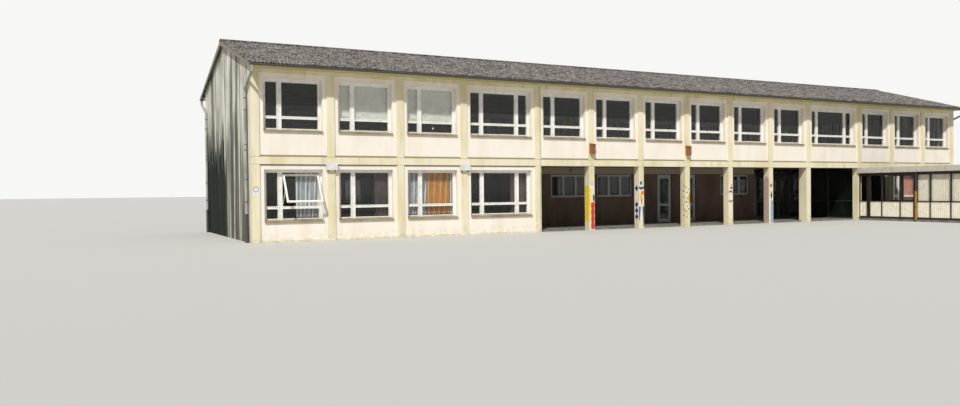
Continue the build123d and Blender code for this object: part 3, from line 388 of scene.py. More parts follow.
def opal_shade():
    """Moulded opal acrylic: smooth and faintly translucent, its body a mid grey that is painted shade, the
    pale opal darkened to the dim arcade it hangs in, and dulled by 40 mm clouds of dust.
    """
    material, tree, place = new_material("moulded_opal_acrylic")
    dust = cloudy(tree, place, 40, 4, edges=(0.45, 0.8), most=0.3)
    # Mid grey body: painted shade of the arcade; the darker clouds are dust
    surfaced(tree, {"Base Color": laid_over(tree, paint("#8F8C82"), "#5F5B50", dust), "Roughness": 0.3,
                    "Subsurface Weight": 0.1})
    return material


# Cast joints across the columns, and wider dark bands painted on the wall panels just below and above the
# beams
COLUMN_JOINTS = ((BEAM_BOTTOM, 0.006), (BEAM_TOP, 0.006))
WALL_DARK_BANDS = ((BEAM_BOTTOM - 0.018, 0.019), (BEAM_TOP + 0.030, 0.031))

# Masonry paint rolled on cast concrete: matt pale yellow with olive rain runs
YELLOW = painted_masonry("pale_yellow_masonry_paint", "#EDE4C8", "#E0D5AC", "#9C9474",
                         streaks=0.30, splash=0.35, joints=COLUMN_JOINTS)
# Masonry paint rolled on floated render: near white with a warm cast, little dirt
CREAM = painted_masonry("cream_white_masonry_paint", "#F8F0E4", "#F3E9DA", "#B5AD9A", streaks=0.16,
                        splash=0.3, joints=WALL_DARK_BANDS)
# The same paint on sills, where water stands: brown grey and heavily streaked
SILL = painted_masonry("weathered_sill_paint", "#A3967A", "#8C7F63", "#5E553F", streaks=0.5, splash=0.0)
# Roughcast of the end walls: painted tree shadow low at the rear, and streaks that are partly painted branch
# shadows
RENDER = streaked_render()
# Roughcast thrown on the arcade's back wall: dark brown 20 mm grains under a lighter smooth band
BROWN = painted_masonry("dark_brown_roughcast", "#73645A", "#63554B", "#3D342D", grain_mm=20,
                        grain_depth=3.0, streaks=0.2, roughness=0.95, crown=(2.47, "#A69A84"))
# Concrete trowelled smooth: mid grey, damp dark patches and few streaks
CONCRETE = painted_masonry("trowelled_grey_concrete", "#8E8A80", "#7A766C", "#4A473F", streaks=0.15)
ROOF = lichened_sheet()
# Alkyd gloss brushed on joinery: white, with yellow-grey dirt
WHITE = coated_metal("brushed_white_gloss_paint", "#F1F0EA", "#A9A596", 0.35, wear=0.3)
# The same gloss in the arcade, in a blue grey that is painted shade: the white joinery darkened to the shade
# it stands in there
SHADE_GREY_WHITE = coated_metal("shade_darkened_white_joinery_paint", "#B4B7B8", "#7F8182", 0.45, wear=0.3)
# Stove enamel on the entrance's steel: almost black green, glossy
DARK_GREEN = coated_metal("dark_green_stove_enamel", "#22302B", "#4A5049", 0.35)
# Brushed steel paint on the passage's frame: brown black, satin, dusty
DARK_STEEL = coated_metal("dark_brown_steel_paint", "#2A231F", "#5A4A3E", 0.4)
# Rolled zinc after years of rain: dull grey with 90 mm blooms
ZINC = coated_metal("weathered_rolled_zinc", "#5C5D5C", "#3B3A38", 0.55, 0.35, 0.5, 90)
# Coil-coated steel fascia: warm light grey, evenly dirtied
FASCIA = coated_metal("grey_coil_coated_fascia", "#C9C2B5", "#8C8576", 0.45, wear=0.4)
# Coil-coated ribbed steel: cream and smooth, a little grime
CREAM_SHEET = coated_metal("cream_coil_coated_sheet", "#F1EAD8", "#B3A98A", 0.45, wear=0.3)
# Float glass: clear over lit rooms and clearest in the passage; at the back and before the hall, a high
# cover of near-black tint is painted shade of the dim rooms and hall behind
FRONT_GLASS = window_pane("clear_float_glass", "#2B302E", 0.10, 2.2)
REAR_GLASS = window_pane("shade_darkened_rear_float_glass", "#171B1B", 0.88)
HALL_GLASS = window_pane("shade_darkened_hall_float_glass", "#1C201F", 0.45, 1.3)
PASSAGE_GLASS = window_pane("passage_float_glass", "#2A2F2E", 0.04, 2.2)
# Sawn pine: red-brown stain on the nest boxes, grey paint at the verges, cream under the eaves,
# and brown boards over the arcade
BROWN_WOOD = sawn_wood("red_brown_stained_pine", "#A4683F", "#6E4127", 52, upright=True)
BARGE_WOOD = sawn_wood("grey_painted_verge_boards", "#9A9180", "#6E6656")
SOFFIT_WOOD = sawn_wood("pale_yellow_soffit_boards", "#CFC394", "#AFA273", 95)
CEILING_WOOD = sawn_wood("dark_stained_ceiling_boards", "#8B7E6B", "#6A5E4C")
PIPE = jointed_pipe()
PASSAGE_PIPE = two_tone_pipe()
# Sprayed enamel on a sheet steel box: light grey, standing on rubber feet
BOX_ENAMEL = coated_metal("light_grey_box_enamel", "#E2E2DE", "#A3A29B", 0.4, wear=0.3, feet=2.508)
# Vitreous enamel fired on steel: white and glossy
PLATE = coated_metal("white_vitreous_enamel", "#E6E6E2", "#9FA09B", 0.3, wear=0.2)
OPAL = opal_shade()
# Bitumen felt rolled out with crushed slate: dark grey 16 mm grains, no gloss
BITUMEN = painted_masonry("slated_bitumen_felt", "#5B5B57", "#4A4A47", "#33332F", grain_mm=16,
                          grain_depth=1.5, streaks=0.0, splash=0.0, roughness=0.95)
# Cotton and viscose cloths, plain woven: pale blinds, and striped or plain curtains
BLIND_CLOTH = woven_cloth("grey_green_blind_cotton", "#F0F2EA", "#E0E3D8")
GREY_CLOTH = woven_cloth("grey_striped_curtain_cotton", "#A9ADB2", "#8D9298", 210, "#D6D9DA")
ORANGE_CLOTH = woven_cloth("orange_striped_curtain_cotton", "#C98736", "#A96825", 330, "#D2A466")
SALMON_CLOTH = woven_cloth("salmon_curtain_cotton", "#D99A82", "#C07F68")
BROWN_CLOTH = woven_cloth("dark_brown_curtain_cotton", "#5A463C", "#3E302A")
# Acrylic wall paint brushed on the columns by hand: flat and bright, with scuffed dirt
PAINT_COLOURS = {
    "red": ("#D0362C", "#8E2622"), "dark_red": ("#7E2326", "#4E1B1B"), "pink": ("#B9A392", "#8E7A6C"),
    "yellow": ("#F2D11E", "#B39720"), "orange": ("#E8761F", "#9A5322"), "ochre": ("#C3962A", "#8A6A22"),
    "blue": ("#1F3F86", "#182C58"), "light_blue": ("#5BA3D8", "#3D6F93"),
    "dark_green": ("#234A3A", "#1B2E26"), "black": ("#1B1A1C", "#3E3B38"), "white": ("#F2F0EC", "#B1AEA6"),
}
PAINTS = {name: coated_metal(f"{name}_acrylic_wall_paint", colour, grime, 0.6)
          for name, (colour, grime) in PAINT_COLOURS.items()}

FINISHES = {
    YELLOW: ["arcade_columns", "outer_columns", "floor_beams", "eaves_beams", "plinths"],
    CREAM: ["front_wall_upper", "front_wall_ground", "rear_walls"],
    RENDER: ["end_walls", "passage_end_wall"],
    BROWN: ["arcade_wall_piers", "arcade_wall_spandrels_and_lintels", "arcade_side_wall"],
    CONCRETE: ["floor_slabs", "passage_floor"],
    ROOF: ["ridge_cap"],
    WHITE: ["front_window_frames", "rear_window_frames", "open_sash"],
    SHADE_GREY_WHITE: ["arcade_window_frames", "arcade_door_frames", "arcade_door_1", "arcade_door_2"],
    DARK_GREEN: ["screen_posts", "screen_rails", "entrance_door_left", "entrance_door_right"],
    DARK_STEEL: ["passage_posts", "passage_frames"],
    ZINC: ["gutters"],
    FASCIA: ["passage_fascia"],
    BITUMEN: ["passage_roof"],
    CREAM_SHEET: ["passage_panels"],
    FRONT_GLASS: ["front_glass", "open_sash_glass"],
    REAR_GLASS: ["rear_glass"],
    HALL_GLASS: ["arcade_window_glass", "arcade_door_1_glass", "arcade_door_2_glass",
                 "entrance_door_left_glass", "entrance_door_right_glass", "screen_glass"],
    PASSAGE_GLASS: ["passage_glass"],
    BROWN_WOOD: ["nest_boxes"],
    BARGE_WOOD: ["barge_boards", "eaves_fascias"],
    SOFFIT_WOOD: ["eaves_soffits"],
    PIPE: ["rain_pipes"],
    PASSAGE_PIPE: ["passage_pipe"],
    BOX_ENAMEL: ["wall_boxes"],
    PLATE: ["column_signs"],
    OPAL: ["arcade_lamp"],
}
for finish, members in FINISHES.items():
    for member in members:
        nodes[member].data.materials.clear()
        nodes[member].data.materials.append(finish)


# Mesh makers
def piece(name, points, faces, finish, body="school", smooth=False):
    """Object at the origin from places in the frame; it rides on a body."""
    mesh = bpy.data.meshes.new(name)
    mesh.from_pydata(np.asarray(points, float).tolist(), [], [np.asarray(face).tolist() for face in faces])
    mesh.materials.append(finish)
    mesh.polygons.foreach_set("use_smooth", [smooth] * len(mesh.polygons))
    mesh.update()
    thing = bpy.data.objects.new(name, mesh)
    bpy.context.scene.collection.objects.link(thing)
    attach(thing, body)
    return thing


def thickened(thing, thickness):
    """Gives a sheet its thickness, half of it on each side."""
    solid = thing.modifiers.new("thickness", "SOLIDIFY")
    solid.thickness, solid.offset = thickness, 0.0
    return thing


def outward(thing):
    """Turns the faces of a closed mesh outwards."""
    shape = bmesh.new()
    shape.from_mesh(thing.data)
    bmesh.ops.recalc_face_normals(shape, faces=shape.faces)
    shape.to_mesh(thing.data)
    shape.free()
    return thing


def grid_faces(rows, columns):
    """Faces of a grid whose vertices run along its rows."""
    corner = np.arange(rows - 1)[:, None] * columns + np.arange(columns - 1)
    return np.stack([corner, corner + 1, corner + 1 + columns, corner + columns], -1).reshape(-1, 4)


def carried(paths, across, up, profile, ring):
    """A closed profile carried along many paths at once.

    paths is (pieces, stations, 3); a vertex is station + a * across + b * up for each profile point
    (a, b). A ring joins its last station to its first; an open path is closed with end faces.
    """
    paths, across, up = (np.broadcast_to(np.asarray(part, float), np.shape(paths))
                         for part in (paths, across, up))
    profile = np.asarray(profile, float)
    count, stations = paths.shape[:2]
    steps = len(profile)
    points = (paths[:, :, None] + profile[None, None, :, :1] * across[:, :, None]
              + profile[None, None, :, 1:] * up[:, :, None])
    here = np.arange(stations if ring else stations - 1)[:, None] * steps
    ahead = (here + steps) % (stations * steps)
    step = np.arange(steps)
    beyond = (step + 1) % steps
    quads = np.stack([here + step, here + beyond, ahead + beyond, ahead + step], -1).reshape(-1, 4)
    starts = np.arange(count) * stations * steps
    faces = list((quads[None] + starts[:, None, None]).reshape(-1, 4))
    if not ring:
        faces += list(step[::-1] + starts[:, None])
        faces += list(step + (stations - 1) * steps + starts[:, None])
    return points.reshape(-1, 3), faces


def beads(name, rects, plane, proud, profile, finish, body="school"):
    """Mouldings mitred round upright rectangles (x0, x1, z0, z1): a vertex is corner + a * away + b *
    proud, so a goes out from the opening and b stands proud of the plane along y."""
    x0, x1, z0, z1 = np.asarray(rects, float).T
    y = np.broadcast_to(plane, x0.shape)
    corners = np.stack([np.stack(place, -1) for place in ((x0, y, z0), (x1, y, z0), (x1, y, z1),
                                                          (x0, y, z1))], 1)
    away = np.array([(-1, 0, -1), (1, 0, -1), (1, 0, 1), (-1, 0, 1)], float)
    points, faces = carried(at(corners), away[None], (0, proud, 0), profile, True)
    return outward(piece(name, points, faces, finish, body))


def bars(name, starts, ends, across, up, profile, finish):
    """Straight pieces of one section between pairs of grid places: an end's vertex is the grid place
    + a * across + b * up for each point (a, b) of the section."""
    paths = np.stack([np.asarray(starts, float), np.asarray(ends, float)], 1)
    points, faces = carried(at(paths), across, up, profile, False)
    return outward(piece(name, points, faces, finish))


def plates(name, outlines, thickness, finish):
    """Thin plates: each outline is an array of places on a flat face, with the direction out of that
    face, along which a copy lies one thickness away; two caps and a ring of sides close it."""
    points, faces, start = [], [], 0
    for outline, out in outlines:
        count = len(outline)
        here = start + np.arange(count)
        beyond = start + (np.arange(count) + 1) % count
        points += [outline, outline + thickness * np.asarray(out, float)]
        faces += [here[::-1], here + count]
        faces += list(np.stack([here, beyond, beyond + count, here + count], -1))
        start += 2 * count
    return outward(piece(name, at(np.concatenate(points)), faces, finish))


def rectangle(a0, a1, b0, b1):
    """Corners of a rectangle from a0 to a1 and from b0 to b1."""
    return [(a0, b0), (a1, b0), (a1, b1), (a0, b1)]


def circle(sides):
    """Cosines and sines of the corners of a regular polygon."""
    turn = np.linspace(0, 2 * np.pi, sides + 1)[:-1]
    return np.cos(turn), np.sin(turn)


# Beads round the lights of windows and doors
def lights_of(bay, lift, skip=None):
    """Rectangles of a bay's lights: narrow and wide columns, low and tall rows."""
    left = AXES[bay] + HALF_COLUMN + SURROUND + FRAME
    right = AXES[bay + 1] - HALF_COLUMN - SURROUND - FRAME
    columns = [(left, left + NARROW), (left + NARROW + MULLION, right)]
    if bay in WIDE_BAYS:
        columns = [columns[0], (columns[1][0], right - NARROW - MULLION), (right - NARROW, right)]
    rows = [(SILL_TOP + FRAME / 2, TRANSOM_BOTTOM), (TRANSOM_TOP, WINDOW_HEAD - FRAME)]
    return [(c[0], c[1], r[0] + lift, r[1] + lift) for i, c in enumerate(columns)
            for j, r in enumerate(rows) if (i, j) != skip]


SASH_BEAD = [(0.0, 0.0), (0.0, 0.008), (0.006, 0.014), (0.032, 0.014), (0.038, 0.008), (0.038, 0.0)]
PANE_BEAD = [(0.0, 0.0), (0.0, 0.006), (0.012, 0.010), (0.020, 0.0)]
OPEN_LIGHT = (1, 1)

front_lights = [light for bay in range(len(BAYS)) for light in lights_of(bay, STOREY)]
front_lights += [light for bay in GROUND_FRONT_BAYS
                 for light in lights_of(bay, 0, OPEN_LIGHT if bay == 0 else None)]
rear_lights = [light for bay in range(len(BAYS)) for lift in (0, STOREY) for light in lights_of(bay, lift)]
beads("front_sash_beads", front_lights, FRAME_FRONT, -1, SASH_BEAD, WHITE)
beads("rear_sash_beads", rear_lights, REAR - FRAME_FRONT, 1, SASH_BEAD, WHITE)

arcade_lights = []
for left, right in ARCADE_WINDOWS:
    light = (right - left - 2 * ARCADE_FRAME - 2 * ARCADE_MULLION) / 3
    firsts = left + ARCADE_FRAME + np.arange(3) * (light + ARCADE_MULLION)
    arcade_lights += [(first, first + light, ARCADE_LIGHT_BOTTOM, ARCADE_LIGHT_TOP) for first in firsts]
# The arcade's beads take the same blue grey: painted shade
beads("arcade_sash_beads", arcade_lights, ARCADE_FRAME_FACE, -1, SASH_BEAD, SHADE_GREY_WHITE)

for door, body, rows, finish, slot in (
        ("arcade_door_1", "door_1", ARCADE_DOOR_ROWS, SHADE_GREY_WHITE, "white_frame"),
        ("arcade_door_2", "door_2", ARCADE_DOOR_ROWS, SHADE_GREY_WHITE, "white_frame"),
        ("entrance_door_left", "entrance_left", ENTRANCE_DOOR_ROWS, DARK_GREEN, "dark_frame"),
        ("entrance_door_right", "entrance_right", ENTRANCE_DOOR_ROWS, DARK_GREEN, "dark_frame")):
    low, high = (np.array(corner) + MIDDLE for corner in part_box(door + "_glass"))
    rects = [(low[0], high[0], bottom, top) for bottom, top in rows]
    beads(door + "_beads", rects, low[1] - DOOR_PANE_SETBACK, -1, PANE_BEAD, finish, body)

# Thin sloping sills with a nose, over an apron flush with the wall; sections are (y, z)
SILL_SECTION = [(-0.010, 0.690), (0.008, 0.684), (0.050, 0.692), (0.320, 0.700), (0.320, 0.765),
                (0.245, 0.765), (-0.006, 0.731), (-0.010, 0.724)]
APRON = [(0.050, 0.655), (0.320, 0.655), (0.320, 0.699), (0.050, 0.691)]


def window_sides(bay):
    """Left and right sides of a bay's window opening."""
    return AXES[bay] + HALF_COLUMN + SURROUND, AXES[bay + 1] - HALF_COLUMN - SURROUND


upper_spans = [(*window_sides(bay), STOREY) for bay in range(len(BAYS))]
rear_spans = upper_spans + [(*window_sides(bay), 0) for bay in range(len(BAYS))]
front_spans = upper_spans + [(*window_sides(bay), 0) for bay in GROUND_FRONT_BAYS]
for name, section, finish in (("sills", SILL_SECTION, SILL), ("sill_aprons", APRON, CREAM)):
    for side, spans, y, inwards in (("front", front_spans, 0, 1), ("rear", rear_spans, REAR, -1)):
        strips = bars(f"{side}_{name}", [(left, y, lift) for left, right, lift in spans],
                      [(right, y, lift) for left, right, lift in spans], (0, inwards, 0), (0, 0, 1), section,
                      finish)
        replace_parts(strips, "window_sills")


# Roofing
def wave_over(x, base):
    """Height of the corrugation along the roof: base + A (1 - cos(2 pi x / wave))."""
    return base + WAVE_HALF * (1 - np.cos((x - ROOF_LEFT) * 2 * np.pi / WAVE))


def roof_sheets(name, node, rear):
    """Corrugated sheets of one slope, in lapped courses.

    Height over the slope's underside is h + A (1 - cos(2 pi x / wave)) plus a lift that falls from
    the lower end of each course, where it lies on the next, to its upper end.
    """
    x = np.linspace(ROOF_LEFT + VERGE_INSET, ROOF_RIGHT - VERGE_INSET, ACROSS)
    edges = np.linspace(EAVE, RIDGE, COURSES + 1)
    points, faces = [], []
    for number, (low, high) in enumerate(zip(edges, edges[1:])):
        lapped = 1 if number else 0
        low = low - LAP * lapped
        y = np.array([low, low + COURSE_END, high - COURSE_END, high])
        X, Y = np.meshgrid(x, y)
        rise = LIFT * lapped * (1 - (Y - low) / (high - low))
        Z = ROOF_AT_FRONT + ROOF_SLOPE * Y + wave_over(X, SHEET / 2 + BATTEN) + rise
        points.append(np.stack([X, REAR - Y if rear else Y, Z], -1).reshape(-1, 3))
        faces.append(grid_faces(*X.shape) + number * X.size)
    faces = np.concatenate(faces)
    thing = piece(name, at(np.concatenate(points)), faces[:, ::-1] if rear else faces, ROOF,
                  smooth=True)
    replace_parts(thickened(thing, SHEET), node)


def ridge_fillers(name, rear):
    """Upright strip that closes the gap under the ridge cap: over the slope's underside it goes from
    the sheets' wave less its own thickness up to the foot of the cap."""
    x = np.linspace(ROOF_LEFT + 2 * VERGE_INSET, ROOF_RIGHT - 2 * VERGE_INSET, ACROSS)
    y = RIDGE - RIDGE_CAP_HALF
    foot = ROOF_AT_FRONT + ROOF_SLOPE * y
    Z = foot + np.stack([wave_over(x, SHEET + BATTEN) - FILLER, np.full(len(x), RIDGE_CAP_FOOT)])
    Y = np.full(Z.shape, REAR - y if rear else y)
    points = np.stack([np.stack([x, x]), Y, Z], -1).reshape(-1, 3)
    thickened(piece(name, at(points), grid_faces(*Z.shape), ROOF), FILLER)


for side, node, rear in (("front", "roof_front_slope", False), ("rear", "roof_rear_slope", True)):
    roof_sheets(f"roof_sheets_{side}", node, rear)
for side, rear in (("front", False), ("rear", True)):
    ridge_fillers(f"ridge_fillers_{side}", rear)

# Gutter straps from the front lip to the fascia
STRAP = rectangle(-0.012, 0.012, 0.0, 0.003)
strap_x = np.arange(ROOF_LEFT + FIRST_STRAP, ROOF_RIGHT - LAST_STRAP, STRAP_SPACING)
for side, face, out in (("front", 0, -1), ("rear", REAR, 1)):
    bars(f"gutter_straps_{side}", [(x, face + out * GUTTER_LIP, GUTTER_TOP) for x in strap_x],
         [(x, face + out * GUTTER_BACK, GUTTER_TOP) for x in strap_x], (1, 0, 0), (0, 0, 1), STRAP, ZINC)

# Arcade ceiling boards
BOARD = [(0.0, 0.0), (0.0, -0.006), (0.004, -0.010), (0.092, -0.010), (0.096, -0.006), (0.096, 0.0)]
board_y = np.arange(FIRST_BOARD, ARCADE_DEPTH, BOARD_SPACING)
bars("arcade_ceiling_boards", [(ARCADE_FIRST, y, ARCADE_CEILING) for y in board_y],
     [(ARCADE_LAST, y, ARCADE_CEILING) for y in board_y], (0, 1, 0), (0, 0, 1), BOARD, CEILING_WOOD)

# Passage: cells between its posts and bars along y, and ribs across their panels
cells = [(PASSAGE_FIRST_POST + HALF_POST + HALF_BAR, -HALF_BAR)]
for post in PASSAGE_FIRST_POST - PASSAGE_BAY * np.arange(3):
    marks = [post - HALF_POST, *(post - bar for bar in PASSAGE_BARS), post - PASSAGE_BAY + HALF_POST]
    cells += [(far + HALF_BAR, near - HALF_BAR) for near, far in zip(marks, marks[1:])]
outer_cells = cells[4:]
RIB = [(0.0, 0.0), (0.009, 0.014), (0.031, 0.014), (0.04, 0.0)]


def ribs(name, x, spans, bottom, top, out):
    """Upright ribs standing out along x, at y = low + first + n * spacing across each span."""
    y = np.concatenate([np.arange(low + FIRST_RIB, high - LAST_RIB, RIB_SPACING) for low, high in spans])
    foot = np.stack([0 * y + x, y, 0 * y + bottom], -1)
    head = foot + np.array([0, 0, top - bottom])
    bars(name, foot, head, (0, 1, 0), (out, 0, 0), RIB, CREAM_SHEET)


ribs("passage_panel_ribs_left", PASSAGE_LEFT - PANEL_FACE, cells, PANEL_BOTTOM, PANEL_TOP, -1)
ribs("passage_panel_ribs_right", PASSAGE_RIGHT + PANEL_FACE, cells, PANEL_BOTTOM, PANEL_TOP, 1)

# Ribbed sheets stand behind the upper glass of the two outer bays, on the left side only
sheet_x = PASSAGE_LEFT + UPPER_SHEET_X
bars("passage_upper_sheets", [(sheet_x, low, UPPER_SHEET_BOTTOM) for low, high in outer_cells],
     [(sheet_x, high, UPPER_SHEET_BOTTOM) for low, high in outer_cells], (0, 0, 1), (1, 0, 0),
     rectangle(0, UPPER_SHEET_HEIGHT, 0, 0.006), CREAM_SHEET)
ribs("passage_upper_ribs", sheet_x, outer_cells, UPPER_SHEET_BOTTOM + RIB_CLEAR,
     UPPER_SHEET_BOTTOM + UPPER_SHEET_HEIGHT - RIB_CLEAR, -1)


# Pipes
def collars(name, places, levels, radius, wall, height, finish):
    """Flat bands round upright pipes: a rectangle (a, b) is carried round a circle, so a vertex is the
    centre + (radius + a) * (cos, sin) + b upwards."""
    centres = np.array([(x, y, z) for x, y in places for z in levels])
    cosines, sines = circle(16)
    turn = np.stack([cosines, sines, 0 * sines], -1)
    paths = centres[:, None, :] + radius * turn[None]
    points, faces = carried(at(paths), turn[None], (0, 0, 1), rectangle(-0.004, wall, 0, height), True)
    outward(piece(name, points, faces, finish))


pipe_places = [(x, y) for x in (-HALF_COLUMN - PIPE_OUT, AXES[-1] + HALF_COLUMN + PIPE_OUT)
               for y in (PIPE_IN, REAR - PIPE_IN)]
collars("rain_pipe_collars", pipe_places, PIPE_COLLARS, RAIN_PIPE, 0.005, 0.035, ZINC)
collars("rain_pipe_sockets", pipe_places, PIPE_SOCKETS, RAIN_PIPE, 0.009, 0.08, PIPE)
collars("standpipe_bands", pipe_places, STANDPIPE_BANDS, STANDPIPE, 0.009, 0.03, PIPE)
collars("passage_pipe_collars", [PASSAGE_PIPE_AT], PASSAGE_PIPE_BANDS, PASSAGE_PIPE_RADIUS, 0.005, 0.03,
        DARK_STEEL)

# Lightning conductor: a round wire down the fifth column, on small clips
wire_x = AXES[4] + WIRE_FROM_AXIS
wire = [(wire_x, WIRE_OUT, WIRE_FOOT), (wire_x, WIRE_OUT, WIRE_TOP)]
points, faces = carried(at([wire]), (1, 0, 0), (0, 1, 0), np.stack(circle(8), -1) * WIRE_RADIUS, False)
outward(piece("lightning_conductor", points, faces, ZINC, smooth=True))
clip_x = wire_x - CLIP_WIDTH / 2
clip_z = np.arange(FIRST_CLIP, WIRE_TOP - LAST_CLIP, CLIP_SPACING)
bars("conductor_clips", [(clip_x, 0.0, z) for z in clip_z], [(clip_x, CLIP_OUT, z) for z in clip_z],
     (1, 0, 0), (0, 0, 1), rectangle(0.0, CLIP_WIDTH, 0.0, CLIP_HEIGHT), ZINC)


# Cloth behind the glass
def cloth(name, x0, x1, z0, z1, y, folds, depth, finish):
    """Hanging cloth on a grid: y swings by depth * sin(2 pi folds s) and opens towards the hem; the
    map runs along the cloth in metres."""
    across, down = max(int(folds * 12), 8) + 1, 15
    S, T = np.meshgrid(np.linspace(0, 1, across), np.linspace(0, 1, down))
    swing = depth * (0.55 + 0.45 * T) * np.sin(2 * np.pi * folds * S + 0.7 * np.sin(5.0 * S + 1.3 * T))
    X = x0 + (x1 - x0) * S + 0.3 * swing * np.cos(2 * np.pi * folds * S)
    points = np.stack([X, y + swing, z1 + (z0 - z1) * T], -1)
    faces = grid_faces(down, across)[:, ::-1]
    runs = np.linalg.norm(np.diff(points, axis=1), axis=2)
    thing = piece(name, at(points.reshape(-1, 3)), faces, finish, smooth=True)
    along = np.concatenate([np.zeros((down, 1)), runs.cumsum(1)], 1)
    spots = np.stack([along, (z1 - z0) * (1 - T)], -1).reshape(-1, 2)
    layer = thing.data.uv_layers.new(name="cloth")
    layer.data.foreach_set("uv", spots[faces.reshape(-1)].ravel().astype(np.float32))
    thickened(thing, CLOTH_THICKNESS)


for bay in (1, 2):
    left, right = window_sides(bay)
    split = left + FRAME + NARROW + MULLION / 2
    parts = (("narrow", left + BLIND_EDGE, split - BLIND_SPLIT),
             ("wide", split + BLIND_SPLIT, right - BLIND_EDGE))
    for (part, x0, x1), hem in zip(parts, BLIND_HEMS):
        cloth(f"roller_blind_{bay}_{part}", x0, x1, hem, BLIND_TOP, BLIND_PLANE, BLIND_WAVES, BLIND_DEPTH,
              BLIND_CLOTH)

# Each curtain: left and right sides, number of folds and cloth
CURTAINS = [("grey_curtain_first_window", 1.46, 2.30, 8, GREY_CLOTH),
            ("brown_curtain_second_window", 4.40, 4.98, 6, BROWN_CLOTH),
            ("grey_curtain_third_window", 5.62, 6.50, 8, GREY_CLOTH),
            ("orange_curtain_third_window", 6.53, 7.46, 9, ORANGE_CLOTH),
            ("grey_curtain_third_window_right", 7.49, 7.66, 2, GREY_CLOTH),
            ("brown_curtain_fourth_window", 10.2, 10.9, 7, BROWN_CLOTH),
            ("salmon_curtain_right_wing", 34.90, 36.02, 9, SALMON_CLOTH)]
for name, x0, x1, folds, finish in CURTAINS:
    cloth(name, x0, x1, CURTAIN_HEM, CURTAIN_TOP, CURTAIN_PLANE, folds, CURTAIN_DEPTH, finish)


# Painted patterns on columns
def front_face(column, outline):
    """(across, z) outline on a column's front face, across from the column's axis."""
    across, z = np.asarray(outline, float).T
    return np.stack([AXES[column] + across, 0 * z, z], -1), (0, -1, 0)


def left_face(column, outline):
    """(depth, z) outline on a column's left face, depth from the front edge."""
    depth, z = np.asarray(outline, float).T
    return np.stack([0 * z + AXES[column] - HALF_COLUMN, depth, z], -1), (-1, 0, 0)


def oval(across, z, half_width, half_height, sides=20):
    """Points (across + half_width cos a, z + half_height sin a); with four sides it is a diamond."""
    cosines, sines = circle(sides)
    return np.stack([across + half_width * cosines, z + half_height * sines], -1)


def chevron(z, rise, thick, half_width):
    """V across a face: its lower edge goes from z on the axis to z + rise at both sides, and it is
    thick high."""
    return [(-half_width, z + rise), (0, z), (half_width, z + rise), (half_width, z + rise + thick),
            (0, z + thick), (-half_width, z + rise + thick)]


def wavy_band(across, low, high, half, waves):
    """Upright band like a string of ovals: half-width = half (0.74 + 0.26 |sin(pi waves t)|)."""
    t = np.linspace(0, 1, 10 * waves + 1)
    reach = half * (0.74 + 0.26 * np.abs(np.sin(np.pi * waves * t)))
    z = low + (high - low) * t
    return np.concatenate([np.stack([across + reach, z], -1), np.stack([across - reach, z], -1)[::-1]])


def petals(x, z, radius):
    """Rounded six-petal outline on the back of a pane: r = R (0.72 + 0.28 cos 6a)."""
    cosines, sines = circle(36)
    reach = radius * (0.72 + 0.28 * np.cos(6 * np.arctan2(sines, cosines)))
    return np.stack([x + reach * cosines, 0 * sines + PANE_BACK, z + reach * sines], -1), (0, 1, 0)


